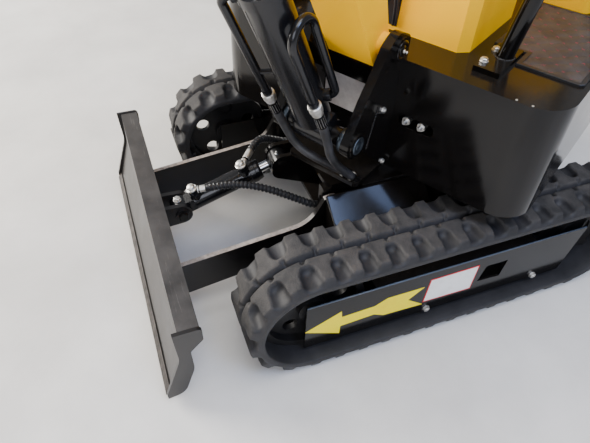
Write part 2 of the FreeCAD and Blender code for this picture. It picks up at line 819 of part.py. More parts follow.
def track_frame():
    # Two side plates, a cover between the wheels, a window in the outer plate
    side = [
        (FRAME_FRONT, FRAME_BOTTOM),
        (FRAME_FRONT, FRAME_TOP),
        (FRAME_REAR_TOP, FRAME_TOP),
        (FRAME_REAR_BOTTOM, FRAME_BOTTOM),
    ]
    outer = plate(side, FRAME_OUTER - FRAME_WALL, FRAME_OUTER)
    outer = outer.cut(plate(WINDOW, FRAME_OUTER - FRAME_WALL - 1, FRAME_OUTER + 1))
    inner = plate(side, FRAME_INNER, FRAME_INNER + FRAME_WALL)
    # The outer plate's rear edge is bent inward as a lip
    lip_back, lip_in = FRAME_LIP
    edge = [
        at(FRAME_REAR_TOP, FRAME_OUTER - FRAME_WALL, FRAME_TOP),
        at(FRAME_REAR_TOP, FRAME_OUTER, FRAME_TOP),
        at(FRAME_REAR_BOTTOM, FRAME_OUTER, FRAME_BOTTOM),
        at(FRAME_REAR_BOTTOM, FRAME_OUTER - FRAME_WALL, FRAME_BOTTOM),
    ]
    lip = Part.Face(Part.makePolygon(edge + edge[:1])).extrude(at(-lip_back, -lip_in, 0))
    inside = (FRAME_INNER + 1, FRAME_OUTER - 1)
    cover = box(-FRAME_COVER_END, FRAME_COVER_END, *inside, FRAME_TOP - FRAME_WALL, FRAME_TOP)
    tie = box(*FRAME_TIE, *inside, FRAME_BOTTOM + 30, FRAME_TOP - 2)
    frame = fused(outer, inner, lip, cover, tie)
    # Yoke bars that hold the idler's axle, closed behind the wheel by a block
    yoke_rear = IDLER_U - YOKE_REACH
    bars = []
    for v0 in (FRAME_INNER + FRAME_WALL, FRAME_OUTER - FRAME_WALL - YOKE_BAR):
        rear_end = (yoke_rear, WHEEL_HEIGHT)
        bar = lever(
            rear_end,
            (IDLER_U, WHEEL_HEIGHT),
            YOKE_HALF_HEIGHT,
            YOKE_HALF_HEIGHT - 1,
            v0,
            v0 + YOKE_BAR,
        )
        bars.append(bar)
    low, high = WHEEL_HEIGHT - YOKE_HALF_HEIGHT + 4, WHEEL_HEIGHT + YOKE_HALF_HEIGHT - 4
    bars.append(box(yoke_rear, yoke_rear + 26, FRAME_INNER + 1, FRAME_OUTER - 1, low, high))
    frame = fused(frame, *bars)
    axle_hole = rod_across(
        (IDLER_U, WHEEL_HEIGHT),
        AXLE_RADIUS + FIT,
        FRAME_INNER + FRAME_WALL,
        FRAME_OUTER - FRAME_WALL,
    )
    motor_hole = rod_across(
        (SPROCKET_U, WHEEL_HEIGHT),
        MOTOR_RADIUS,
        FRAME_INNER - 1,
        FRAME_INNER + FRAME_WALL + 1,
    )
    return pieces_of(frame.cut(motor_hole).cut(axle_hole))


def car_body():
    top = slab(
        [
            (BODY_HALF_LENGTH, -BODY_HALF_WIDTH, 60),
            (BODY_HALF_LENGTH, BODY_HALF_WIDTH, 60),
            (-BODY_HALF_LENGTH, BODY_HALF_WIDTH, 60),
            (-BODY_HALF_LENGTH, -BODY_HALF_WIDTH, 60),
        ],
        BODY_TOP - BODY_PLATE,
        BODY_TOP,
    )
    wall = BODY_FRONT_WALL
    side = BODY_SHELL_HALF_WIDTH
    thick = BODY_SHELL_WALL
    shell = box(-wall, wall, -side, side, BODY_BOTTOM, BODY_TOP - BODY_PLATE + 1)
    inside = box(
        -wall + thick,
        wall - thick,
        -side + thick,
        side - thick,
        BODY_BOTTOM - 1,
        BODY_TOP - BODY_PLATE,
    )
    shell = shell.cut(inside)
    lip = box(wall - thick, wall + BODY_LIP, -side, side, BODY_BOTTOM - 8, BODY_BOTTOM + 2)
    glands = []
    for run in (FRONT_HOSE_RUN, REAR_HOSE_RUN):
        v, z = run[-1][1], run[-1][2]
        glands.append(
            bar_between(at(wall - 2, v, z), at(wall + GLAND_REACH, v, z), BLADE_HOSE_RADIUS + 3.5),
        )
    legs = []
    # Front and rear legs, each from u0 to u1
    for u0, u1 in ((LEG_GAP, LEG_FRONT), (-LEG_FRONT, -LEG_GAP)):
        profile = [
            (side - 5, BODY_TOP - BODY_PLATE + 0.5),
            (BODY_HALF_WIDTH + 6, BODY_TOP - BODY_PLATE + 0.5),
            (FRAME_INNER, LEG_OUT_TOP),
            (FRAME_INNER, LEG_OUT_BOTTOM),
            (side - 5, LEG_ROOT_BOTTOM),
        ]
        wire = rounded_wire(profile, lambda v, z: at(u0, v, z))
        legs.append(Part.Face(wire).extrude(V(0, -(u1 - u0), 0)))
    # The blade arms run back beside the front wall, between the shell and the leg's own side
    slot = box(
        BODY_FRONT_WALL - 40,
        LEG_FRONT + 1,
        ARM_OUT - ARM_PLATE - 5,
        ARM_OUT + 5,
        BODY_BOTTOM - 60,
        BODY_TOP + 1,
    )
    legs = [leg.cut(slot) for leg in legs]
    both_legs = []
    for leg in legs:
        both_legs += [leg, mirrored(leg)]
    body = fused(top, shell, lip, *glands, *both_legs)
    body = pieces_of(body.cut(slot).cut(mirrored(slot)))
    # Ears of the blade cylinder
    gap = CYL_EAR_GAP / 2
    ear = plate(
        [
            (BODY_FRONT_WALL - 2, BODY_BOTTOM + 40),
            (BODY_FRONT_WALL - 2, BODY_TOP - 2),
            (BLADE_CYL_EYE[0] + 30, BODY_TOP - 2, 30),
            (BLADE_CYL_EYE[0] + 30, BLADE_CYL_EYE[1] - 34, 30),
        ],
        gap,
        gap + CYL_EAR,
    )
    stub = rod_across(BLADE_CYL_EYE, 20, gap + CYL_EAR - 1, gap + CYL_EAR + PIN_HEAD)
    # Tow plate lying flat at the rear, with an upright hole
    u, v = TOW_EYE
    tow_outline = [
        (-BODY_FRONT_WALL + 2, v - 60),
        (-BODY_FRONT_WALL + 2, v + 60),
        (u - 32, v + 32, 30),
        (u - 32, v - 32, 30),
    ]
    tow = slab(tow_outline, TOW_PLATE_BOTTOM, TOW_PLATE_BOTTOM + TOW_PLATE)
    tow = tow.cut(Part.makeCylinder(TOW_EYE_RADIUS, TOW_PLATE + 2, at(u, v, TOW_PLATE_BOTTOM - 1)))
    # Pivot pins of the blade arms
    pivots = []
    pin = rod_across(BLADE_PIVOT, BLADE_PIN, ARM_OUT - ARM_PLATE - 30, ARM_OUT + 30)
    for piece in (ear, stub, pin):
        pivots += [piece, mirrored(piece)]
    return fused(body, tow, *pivots)


def blade():
    # End plate: the side profile from top rear, forward, down the concave face to the tip and back
    end_outline = [
        (FLANGE_REAR - 4, BLADE_TOP + 2, 12),
        (FLANGE_FRONT + 13, BLADE_TOP + 2),
        (FLANGE_FRONT + 12, BLADE_TOP - 20),
        (FLANGE_FRONT + 8, 180, 90),
        (FLANGE_FRONT + 57, BLADE_BOTTOM + 2),
        (FLANGE_FRONT + 56, BLADE_BOTTOM - 16),
        (FLANGE_FRONT + 10, BLADE_BOTTOM - 8, 40),
        (FLANGE_FRONT - 24, 130, 90),
        (FLANGE_FRONT - 22, 205, 12),
        (FLANGE_REAR - 4, BLADE_TOP - 42, 12),
    ]
    half = BLADE_WIDTH / 2
    end = plate(end_outline, half - END_PLATE, half)
    face = plate(
        [
            (FLANGE_FRONT, BLADE_TOP - 2),
            (FLANGE_FRONT + 1, 180, 120),
            (FLANGE_FRONT + 46, BLADE_BOTTOM + 2),
            (FLANGE_FRONT + 38, BLADE_BOTTOM + 2),
            (FLANGE_FRONT - 8, 180, 112),
            (FLANGE_FRONT - 8, BLADE_TOP - 2),
        ],
        -half + 1,
        half - 1,
    )
    flange = box(FLANGE_REAR, FLANGE_FRONT, -half + 1, half - 1, BLADE_TOP - FLANGE_DEPTH, BLADE_TOP)
    lugs = []
    gap = CYL_EAR_GAP / 2
    u, z = BLADE_CYL_BASE
    lug = plate(
        [
            (FLANGE_FRONT - 6, z - 40),
            (FLANGE_FRONT - 6, z + 34),
            (u - 28, z + 30, 28),
            (u - 28, z - 30, 28),
        ],
        gap + SEAT,
        gap + SEAT + CYL_EAR,
    )
    for piece in (end, lug):
        lugs += [piece, mirrored(piece)]
    pin = clevis_pin(BLADE_CYL_BASE, CYL_PIN, gap + SEAT + CYL_EAR, 20)
    return fused(face, flange, pin, *lugs)


def blade_arms():
    # Side outline: welded end, top edge, the horn with its hollow front, the round heel about the pivot
    u, z = BLADE_PIVOT
    v0 = ARM_OUT - ARM_PLATE
    outline = [
        (FLANGE_FRONT - BLADE_PLATE, 94),
        (FLANGE_FRONT - BLADE_PLATE, 214),
        (u + 62, z - 7, 84),
        (u + 18, z + 76, 10),
        (u - 18, z + 80, 14),
        (u - 34, z - 58, 34),
        (u + 60, z - 110, 60),
    ]
    arm = plate(outline, v0, ARM_OUT)
    arm = arm.cut(rod_across(BLADE_PIVOT, BLADE_PIN + FIT, v0 - 1, ARM_OUT + 1))
    return both(arm)


def cutting_edge():
    half = BLADE_WIDTH / 2 - END_PLATE - 1
    corners = [
        (FLANGE_FRONT + 47, BLADE_BOTTOM + 8),
        (FLANGE_FRONT + 60, BLADE_BOTTOM - 12),
        (FLANGE_FRONT + 48, BLADE_BOTTOM - 12),
        (FLANGE_FRONT + 35, BLADE_BOTTOM + 2),
        (FLANGE_FRONT + 46, BLADE_BOTTOM + 2),
    ]
    return plate(corners, -half, half)


def deck_outline(inset):
    front, half, corner = DECK_FRONT - inset, DECK_HALF_WIDTH - inset, DECK_CORNER - inset
    return [
        (front, -half, corner),
        (front, half, corner),
        (DECK_REAR + inset, half),
        (DECK_REAR + inset, -half),
    ]


def upper_frame():
    body = slab(deck_outline(0), SKIRT_BOTTOM, DECK_TOP)
    hollow = slab(deck_outline(SKIRT_WALL), SKIRT_BOTTOM + FLOOR_PLATE, DECK_TOP - DECK_PLATE)
    front, half = DECK_FRONT - SKIRT_WALL, DECK_HALF_WIDTH - SKIRT_WALL
    open_floor = slab(
        [
            (front, -half, DECK_CORNER - SKIRT_WALL),
            (front, -240),
            (DECK_REAR + 60, -240),
            (DECK_REAR + 60, -half),
        ],
        SKIRT_BOTTOM - 1,
        SKIRT_BOTTOM + FLOOR_PLATE + 1,
    )
    frame = body.cut(hollow).cut(open_floor).cut(mirrored(open_floor))
    # A shallow box behind the slot carries the fittings
    back = FITTING_PLATE
    house = box(back - 5, front + 1, SLOT_U - 66, SLOT_U + 66, SLOT_Z - 30, SLOT_Z + 30)
    cavity = box(back, front + 1, SLOT_U - 61, SLOT_U + 61, SLOT_Z - 25, SLOT_Z + 25)
    frame = frame.fuse(house.cut(cavity)).cut(rod_slot(SLOT_U, SLOT_Z))
    # The pocket that takes the boom's foot
    wall = 6.0
    side = BRACKET_OUT - BRACKET_PLATE
    block = box(
        POCKET_REAR - wall,
        DECK_FRONT - 1,
        -side - wall,
        side + wall,
        POCKET_BOTTOM - wall,
        DECK_TOP - 1,
    )
    frame = frame.fuse(block).cut(
        box(POCKET_REAR, DECK_FRONT + 1, -side, side, POCKET_BOTTOM, DECK_TOP + 1),
    )
    return pieces_of(frame)


def skirt_fittings():
    # Two hexagon fittings with their nipples, standing in the skirt's slot
    fittings = []
    for v in FITTING_PLACES:
        # Stations as (start, end, radius), from the plate forward
        body = bar_between(at(FITTING_PLATE, v, FITTING_Z), at(DECK_FRONT - 6, v, FITTING_Z), 9.0)
        hexagon = hexagon_bar(at(DECK_FRONT - 8, v, FITTING_Z), at(DECK_FRONT + 2, v, FITTING_Z), 11.5)
        nipple = Part.makeCone(7.0, 4.5, 12.0, at(DECK_FRONT + 1, v, FITTING_Z), at(1, 0, 0))
        fittings.append(fused(body, hexagon, nipple))
    return Part.makeCompound(fittings)


def rod_slot(v, z):
    # The rounded slot in the front skirt
    half = (SLOT_LENGTH - SLOT_HEIGHT) / 2
    radius = SLOT_HEIGHT / 2
    ends = []
    for side in (-half, half):
        ends.append(Part.makeCylinder(radius, 30, at(DECK_FRONT + 10, v + side, z), V(0, 1, 0)))
    middle = box(DECK_FRONT - 20, DECK_FRONT + 10, v - half, v + half, z - radius, z + radius)
    return fused(middle, *ends)


def boom_bracket():
    v1 = BRACKET_OUT
    v0 = BRACKET_OUT - BRACKET_PLATE
    foot_u, foot_z = BOOM_FOOT
    low_u, low_z = BOOM_CYL_BASE
    face = DECK_FRONT + SEAT
    side = plate(
        [
            (face, SKIRT_BOTTOM + 1),
            (face, DECK_TOP + 0.5),
            (foot_u - 44, DECK_TOP + 0.5),
            (foot_u - 44, foot_z + 20, 24),
            (foot_u + 10, foot_z + 46, 40),
            (foot_u + 50, foot_z + 20, 20),
            (foot_u + 82, foot_z - 33),
            (foot_u + 122, foot_z - 84, 40),
            step(BOOM_CYL_BASE, 38, BRACKET_NOSE),
            step(BOOM_CYL_BASE, -128, BRACKET_NOSE),
            (foot_u + 12, SKIRT_BOTTOM + 27, 20),
        ],
        v0,
        v1,
    )
    side = fused(side, rod_across(BOOM_CYL_BASE, BRACKET_NOSE, v0, v1))
    side = side.cut(rod_across(LOCK_HOLE, LOCK_HOLE_RADIUS, v0 - 1, v1 + 1))
    back = box(face, face + 12, -v1 + 2, v1 - 2, SKIRT_BOTTOM, POCKET_BOTTOM)
    # The shelf under the bracket, with a sleeve for each hose of the boom cylinder
    shelf = slab(
        [(face, -v1), (face, v1), (BRACKET_SHELF, v1, 12), (BRACKET_SHELF, -v1, 12)],
        SKIRT_BOTTOM,
        SKIRT_BOTTOM + BRACKET_SHELF_PLATE,
    )
    sleeves = []
    for run in BOOM_HOSE_RUNS.values():
        end, before = at(*run[-1]), at(*run[-2])
        sleeves.append(hose_gland(end, end + (end - before), BOOM_HOSE_RADIUS + 2.5, 24.0))
    below = box(face, BRACKET_SHELF + 60, -v1, v1, SKIRT_BOTTOM - 40, SKIRT_BOTTOM)
    sleeves = [sleeve.cut(below) for sleeve in sleeves]
    low_pin = clevis_pin(BOOM_CYL_BASE, CYL_PIN, v1, 30)
    foot_pin = clevis_pin(BOOM_FOOT, BOOM_PIN, v1, 30)
    spacer = rod_across(BOOM_CYL_BASE, 24, 48, v0 + 1)
    return fused(back, shelf, *sleeves, side, mirrored(side), low_pin, foot_pin, spacer, mirrored(spacer))


def boom():
    half = BOOM_WIDTH / 2
    foot, bend, tip = BOOM_FOOT, BOOM_BEND_POINT, BOOM_TIP
    low, up = BOOM_ANGLE, BOOM_UPPER_ANGLE
    middle = (low + up) / 2
    profile = [
        step(foot, low, -20, 26) + (20,),
        step(foot, low, 90, BOOM_DEPTH_FOOT / 2) + (60,),
        step(bend, middle, 0, BOOM_DEPTH_BEND / 2) + (180,),
        step(tip, up, 0, BOOM_DEPTH_TIP / 2),
        step(tip, up, 0, -BOOM_DEPTH_TIP / 2),
        step(bend, middle, 0, -BOOM_DEPTH_BEND / 2) + (120,),
        step(foot, low, -30, -BOOM_DEPTH_FOOT / 2),
        step(foot, low, -20, -BOOM_DEPTH_FOOT / 2 + 12),
    ]
    body = plate(profile, -half, half)
    boss = rod_across(foot, 27, -(BRACKET_OUT - BRACKET_PLATE - 2), BRACKET_OUT - BRACKET_PLATE - 2)
    tip_boss = rod_across(tip, BOOM_TIP_BOSS, -half, half)
    body = fused(body, boss, tip_boss)
    # The arm's head sits between the cheeks
    gap = half - BOOM_CHEEK
    window = rod_across(tip, ARM_DEPTH_ROOT / 2 + 45, -gap, gap)
    body = body.cut(window)
    pin = clevis_pin(tip, BOOM_PIN, half, 28)
    body = body.cut(rod_across(foot, BOOM_PIN + FIT, -200, 200))
    pieces = [pin]
    # Ears for the boom cylinder's eye under the bend, and for the arm cylinder's base on its back
    gap = 48.0
    eye = BOOM_CYL_EYE
    root_a = step(bend, low, -120, -40)
    root_b = step(bend, up, 230, -30)
    ear = plate(
        [
            root_a,
            root_b,
            step(eye, up, 44, -6) + (24,),
            step(eye, up, 0, -46) + (34,),
            step(eye, up, -44, -6) + (30,),
        ],
        gap,
        gap + 12,
    )
    stub = rod_across(eye, 24, gap + 11, gap + 12 + PIN_HEAD)
    back = ARM_CYL_BASE
    gap_back = CYL_EAR_GAP / 2
    root_a = step(bend, low, -90, 40)
    root_b = step(bend, up, 5, 40)
    back_ear = plate(
        [
            root_b,
            root_a,
            step(back, middle, -30, 6) + (26,),
            step(back, middle, 0, 30) + (26,),
            step(back, middle, 24, 6) + (22,),
        ],
        gap_back,
        gap_back + 12,
    )
    back_pin = clevis_pin(back, CYL_PIN, gap_back + 12, 22)
    for piece in (ear, stub, back_ear):
        pieces += [piece, mirrored(piece)]
    return fused(body, back_pin, *pieces)


def arm():
    half = ARM_WIDTH / 2
    head, tip, a = BOOM_TIP, ARM_TIP, ARM_ANGLE
    profile = [
        step(head, a, -40, -ARM_DEPTH_ROOT / 2 + 30) + (30,),
        step(head, a, 120, -ARM_DEPTH_ROOT / 2 + 20) + (60,),
        step(tip, a, 0, -ARM_DEPTH_TIP / 2),
        step(tip, a, 0, ARM_DEPTH_TIP / 2),
        step(head, a, 120, ARM_DEPTH_ROOT / 2 - 5) + (60,),
        step(head, a, -40, ARM_DEPTH_ROOT / 2 - 20) + (30,),
    ]
    body = plate(profile, -half, half)
    tip_boss = rod_across(tip, ARM_DEPTH_TIP / 2, -half, half)
    rocker_boss = rod_across(ROCKER_PIVOT, 28, -half, half)
    horn_gap = CYL_EAR_GAP / 2 + 3
    horn = lever(head, ARM_CYL_EYE, 60, 30, horn_gap, horn_gap + 14)
    horn_stub = rod_across(ARM_CYL_EYE, 22, horn_gap + 13, horn_gap + 14 + PIN_HEAD)
    base = BUCKET_CYL_BASE
    ear = plate(
        [
            step(head, a, -20, 40),
            step(base, a, -34, 0) + (28,),
            step(base, a, 0, 34) + (28,),
            step(base, a, 34, 0) + (28,),
            step(head, a, 105, 40),
        ],
        horn_gap - 3,
        horn_gap + 9,
    )
    base_pin = clevis_pin(base, CYL_PIN, horn_gap + 9, 20)
    rocker_pin = clevis_pin(ROCKER_PIVOT, BUCKET_PIN, half + 2 * SEAT + LINK_PLATE, 20)
    tip_pin = rod_across(tip, BUCKET_PIN, -half - SEAT - LINK_PLATE, half + SEAT + LINK_PLATE)
    # The horn needs a free slot for the arm cylinder's eye
    pieces = [tip_boss, rocker_boss, base_pin, rocker_pin, tip_pin]
    for piece in (horn, horn_stub, ear):
        pieces += [piece, mirrored(piece)]
    whole = fused(body, *pieces)
    return pieces_of(whole.cut(rod_across(head, BOOM_PIN + FIT, -200, 200)))


def rocker():
    inner = ARM_WIDTH / 2 + SEAT
    outer = inner + LINK_PLATE
    bar = lever(ROCKER_PIVOT, ROCKER_PIN, 28, 26, inner, outer)
    bar = bar.cut(rod_across(ROCKER_PIVOT, BUCKET_PIN + FIT, inner - 1, outer + 1))
    link_outer = outer + 1 + LINK_PLATE
    pin = rod_across(ROCKER_PIN, BUCKET_PIN, CYL_EAR_GAP / 2 + 4, link_outer + PIN_HEAD)
    head = rod_across(ROCKER_PIN, 20, link_outer + SEAT, link_outer + PIN_HEAD)
    return both(fused(bar, pin, head))


def bucket_link():
    inner = ARM_WIDTH / 2 + SEAT + LINK_PLATE + 1
    outer = inner + LINK_PLATE
    bar = lever(ROCKER_PIN, BUCKET_EAR, 22, 22, inner, outer)
    bar = bar.cut(rod_across(ROCKER_PIN, BUCKET_PIN + FIT, inner - 1, outer + 1))
    boss = rod_across(BUCKET_EAR, 18, outer - 1, outer + PIN_HEAD)
    return both(fused(bar, boss))


def bucket():
    half = BUCKET_WIDTH / 2
    u, z = ARM_TIP
    wall = BUCKET_WALL
    # Side profile with the flat bottom level, as (from the pin forward, up, corner radius)
    outer = [(-235, -290), (50, -290, 90), (178, -190, 110), (150, -66, 40), (-56, -66)]
    inner = [
        (-260, -290 + wall),
        (50 - 2, -290 + wall, 84),
        (178 - wall, -188, 104),
        (150 - wall, -66 - wall, 34),
        (-70, -66 - wall),
    ]
    shell = plate([(u + p[0], z + p[1]) + tuple(p[2:]) for p in outer], -half, half)
    hollow = plate([(u + p[0], z + p[1]) + tuple(p[2:]) for p in inner], -half + wall, half - wall)
    shell = shell.cut(hollow)
    ear_v = ARM_WIDTH / 2 + SEAT
    ear_angle = EAR_ANGLE - BUCKET_REST_TURN
    ear_pin = step(ARM_TIP, ear_angle, EAR_DISTANCE)
    ear = plate(
        [
            (u - 50, z - 68),
            (u - 36, z + 10, 30),
            (u, z + 36, 34),
            (ear_pin[0] + 8, ear_pin[1] + 28, 26),
            (ear_pin[0] + 30, ear_pin[1] - 6, 26),
            (u + 128, z - 70),
        ],
        ear_v,
        ear_v + LINK_PLATE,
    )
    ear = ear.cut(rod_across(ARM_TIP, BUCKET_PIN + FIT, ear_v - 1, ear_v + LINK_PLATE + 1))
    lip = box(u - 262, u - 225, -half, half, z - 292, z - 280)
    teeth = []
    for place in (-half + 30, 0, half - 30):
        tooth = plate(
            [(u - 240, z - 296), (u - 240, z - 274), (u - 258, z - 274), (u - 300, z - 290)],
            place - 22,
            place + 22,
        )
        teeth.append(tooth)
    pieces = [lip] + teeth
    pieces += [ear, mirrored(ear)]
    whole = fused(shell, *pieces)
    return turned(whole, ARM_TIP, BUCKET_REST_TURN)


def console():
    # The shell narrows above its bevel; each ring is (height, inset)
    rings = []
    for height, inset in ((CONSOLE_TOP - CONSOLE_BEVEL, 0.0), (CONSOLE_TOP, CONSOLE_BEVEL * 0.6)):
        corners = [at(u, v, height) for u, v in console_outline(inset)]
        rings.append(Part.makePolygon(corners + corners[:1]))
    return fused(
        slab(console_outline(0.0), CONSOLE_BOTTOM, CONSOLE_TOP - CONSOLE_BEVEL),
        Part.makeLoft(rings, True, True),
    )


def console_outline(inset):
    front, rear, half = CONSOLE_FRONT - inset, CONSOLE_REAR + inset, CONSOLE_HALF_WIDTH - inset
    cut = CONSOLE_CORNER
    return [
        (front, -half + cut),
        (front, half - cut),
        (front - cut, half),
        (rear, half),
        (rear, -half),
        (front - cut, -half),
    ]


def control_levers():
    # Two travel levers and two work levers as (u, v, length, lean forward)
    levers = []
    for u, v, length, lean in (
        (40.0, -38.0, 190.0, 8.0),
        (40.0, 38.0, 190.0, 8.0),
        (-60.0, -150.0, 130.0, -6.0),
        (-60.0, 150.0, 130.0, -6.0),
    ):
        foot = at(u, v, CONSOLE_TOP)
        c, s = direction(90.0 - lean)
        axis = at(c, 0, s)
        bottom = Part.makeCylinder(15.0, 14.0, foot, V(0, 0, 1))
        rod = Part.makeCylinder(5.5, length, foot + axis * 4, axis)
        grip = Part.makeCylinder(13.0, 62.0, foot + axis * (length - 50), axis)
        knob = Part.makeSphere(13.0, foot + axis * (length + 12))
        levers.append(fused(bottom, rod, grip, knob))
    return Part.makeCompound(levers)


def post_run(base, lean, top):
    # One canopy post: leans outward to shoulder height, then stands upright
    u, v = base
    rise = 560.0
    shoulder = at(u, v + math.tan(math.radians(lean)) * rise, DECK_TOP + rise)
    foot = at(u, v, DECK_TOP + 12)
    low = Part.makeCylinder(POST_RADIUS, foot.distanceToPoint(shoulder), foot, shoulder - foot)
    knee = Part.makeSphere(POST_RADIUS, shoulder)
    high = Part.makeCylinder(POST_RADIUS, top - shoulder.z, shoulder, V(0, 0, 1))
    base_plate = box(u - 55, u + 85, v - 38, v + 24, DECK_TOP, DECK_TOP + 12.5)
    return fused(low, knee, high, base_plate), shoulder


def canopy_posts():
    # Rails under the roof join the front and rear posts of each side
    front, shoulder = post_run(POST_BASE, POST_LEAN, ROOF_BOTTOM - SEAT)
    rail_z = ROOF_BOTTOM - POST_RADIUS - SEAT
    front_top = V(shoulder.x, shoulder.y, rail_z)
    rear_top = at(HOOD_REAR - 20, REAR_POST_V, rail_z)
    rear = bar_between(
        at(HOOD_REAR - 20, REAR_POST_V, WEIGHT_TOP),
        at(HOOD_REAR - 20, REAR_POST_V, ROOF_BOTTOM - SEAT),
        POST_RADIUS,
    )
    rail = bar_between(front_top, rear_top, POST_RADIUS - 2)
    side = fused(front, rear, rail)
    bow = bar_between(V(-front_top.x, front_top.y, rail_z), front_top, POST_RADIUS - 3)
    return fused(side, mirrored(side), bow)


def canopy_roof():
    # A pressed sheet with a rim turned down
    outer = rounded_rectangle(ROOF_FRONT, ROOF_REAR, ROOF_HALF_WIDTH, 60)
    inner = rounded_rectangle(
        ROOF_FRONT - ROOF_SHEET,
        ROOF_REAR + ROOF_SHEET,
        ROOF_HALF_WIDTH - ROOF_SHEET,
        60 - ROOF_SHEET,
    )
    roof = slab(outer, ROOF_BOTTOM - 26, ROOF_BOTTOM + ROOF_SHEET)
    roof = roof.cut(slab(inner, ROOF_BOTTOM - 27, ROOF_BOTTOM))
    # Pressed ribs along the roof
    ribs = []
    for v in (-260, -90, 90, 260):
        ribs.append(
            box(
                ROOF_REAR + 90,
                ROOF_FRONT - 90,
                v - 30,
                v + 30,
                ROOF_BOTTOM + ROOF_SHEET - 1,
                ROOF_BOTTOM + 14,
            ),
        )
    return fused(roof, *ribs)


def rounded_rectangle(front, rear, half, radius):
    return [(front, -half, radius), (front, half, radius), (rear, half, radius), (rear, -half, radius)]


def engine_hood():
    # A sheet cover on the deck: upright sides, a bevel round its top, louvres in both sides
    bevel = 40.0
    radius = 30.0
    low = (HOOD_FRONT, HOOD_REAR, HOOD_HALF_WIDTH)
    wires = []
    for inset in (0.0, HOOD_WALL):
        front, rear, half = low[0] - inset, low[1] + inset, low[2] - inset
        corners = rounded_rectangle(front, rear, half, radius - inset)
        inner = rounded_rectangle(front - bevel, rear + bevel, half - bevel, radius - inset)
        shoulder_z = HOOD_TOP - bevel - inset * 0.4
        top_z = HOOD_TOP - inset
        body = slab(corners, DECK_TOP - inset, shoulder_z)
        ring_low = rounded_wire(corners, lambda u, v: at(u, v, shoulder_z))
        ring_high = rounded_wire(inner, lambda u, v: at(u, v, top_z))
        wires.append(body.fuse(Part.makeLoft([ring_low, ring_high], True, True)))
    hood = wires[0].cut(wires[1])
    louvres = []
    for row in range(6):
        z = DECK_TOP + 90 + row * 24
        louvres.append(
            box(HOOD_REAR + 90, HOOD_FRONT - 90, HOOD_HALF_WIDTH - 10, HOOD_HALF_WIDTH + 1, z, z + 9),
        )
    for louvre in louvres:
        hood = hood.cut(louvre).cut(mirrored(louvre))
    return pieces_of(hood)


def seat_cushion():
    # A cushion that swells from its base and has a rounded outline
    rings = []
    for height, inset in (
        (HOOD_TOP + SEAT, 14),
        (HOOD_TOP + 34, 0),
        (HOOD_TOP + 66, 0),
        (HOOD_TOP + 90, 22),
    ):
        corners = rounded_rectangle(
            SEAT_FRONT - inset,
            SEAT_REAR + inset,
            SEAT_HALF_WIDTH - inset,
            60 - inset,
        )
        rings.append(rounded_wire(corners, lambda u, v: at(u, v, height)))
    return Part.makeLoft(rings, True, True)


def seat_back():
    # A backrest that leans back and narrows upward; each ring is (height, shift back, half width)
    rings = []
    low = HOOD_TOP + 90 + SEAT
    for height, shift, half in (
        (low, 0, 190),
        (low + 60, 10, 215),
        (low + 250, 42, 200),
        (low + 330, 56, 160),
    ):
        corners = rounded_rectangle(SEAT_REAR + 76 - shift, SEAT_REAR + 12 - shift, half, 28)
        rings.append(rounded_wire(corners, lambda u, v: at(u, v, height)))
    return Part.makeLoft(rings, True, True)


def counterweight():
    # A casting behind the deck: a curved back between chamfered ends
    front = DECK_REAR - SEAT
    half = DECK_HALF_WIDTH
    corners = [
        (front, -half),
        (front, half),
        (front - 30, half, 30),
        (WEIGHT_REAR, half - 150, 160),
        (WEIGHT_REAR, -half + 150, 160),
        (front - 30, -half, 30),
    ]
    body = slab(corners, SKIRT_BOTTOM + 10, WEIGHT_TOP)
    recess = box(front - 60, front + 1, -half + 90, half - 90, SKIRT_BOTTOM + 9, SKIRT_BOTTOM + 60)
    return pieces_of(body.cut(recess))


# Undercarriage
on_base("car_body", car_body())
frame_left = track_frame()
on_base("track_frame_left", frame_left)
on_base("track_frame_right", mirrored(frame_left))
belt = track()
on_base("track_left", belt)
on_base("track_right", mirrored(belt))
on_base("idlers", both(idler()))
on_base("sprockets", both(sprocket()))
on_base("travel_motors", both(travel_motor()))
roller_set = track_rollers()
on_base("track_rollers", Part.makeCompound(roller_set + [mirrored(r) for r in roller_set]))
ring_base = Part.makeCylinder(RING_OUTER, RING_OUTER_TOP - RING_FLOOR, V(0, 0, RING_FLOOR))
ring_base = ring_base.cut(Part.makeCylinder(RING_SPLIT + SEAT, 100, V(0, 0, RING_FLOOR - 1)))
on_base("slew_ring_base", ring_base)

# Blade
on_base("blade", blade())
on_base("blade_arms", blade_arms())
on_base("cutting_edge", cutting_edge())
barrel, rod = hydraulic_cylinder(
    BLADE_CYL_BASE,
    BLADE_CYL_EYE,
    BLADE_CYL_SHORTEST,
    BLADE_CYL_RADIUS,
    15,
    28,
    CYL_EAR_GAP - 2,
    CYL_PIN,
)
on_base("blade_cylinder_barrel", fused(barrel, *blade_cylinder_ports()))
for name, hose in blade_hoses().items():
    on_base(name, hose)
on_base("blade_cylinder_rod", rod)

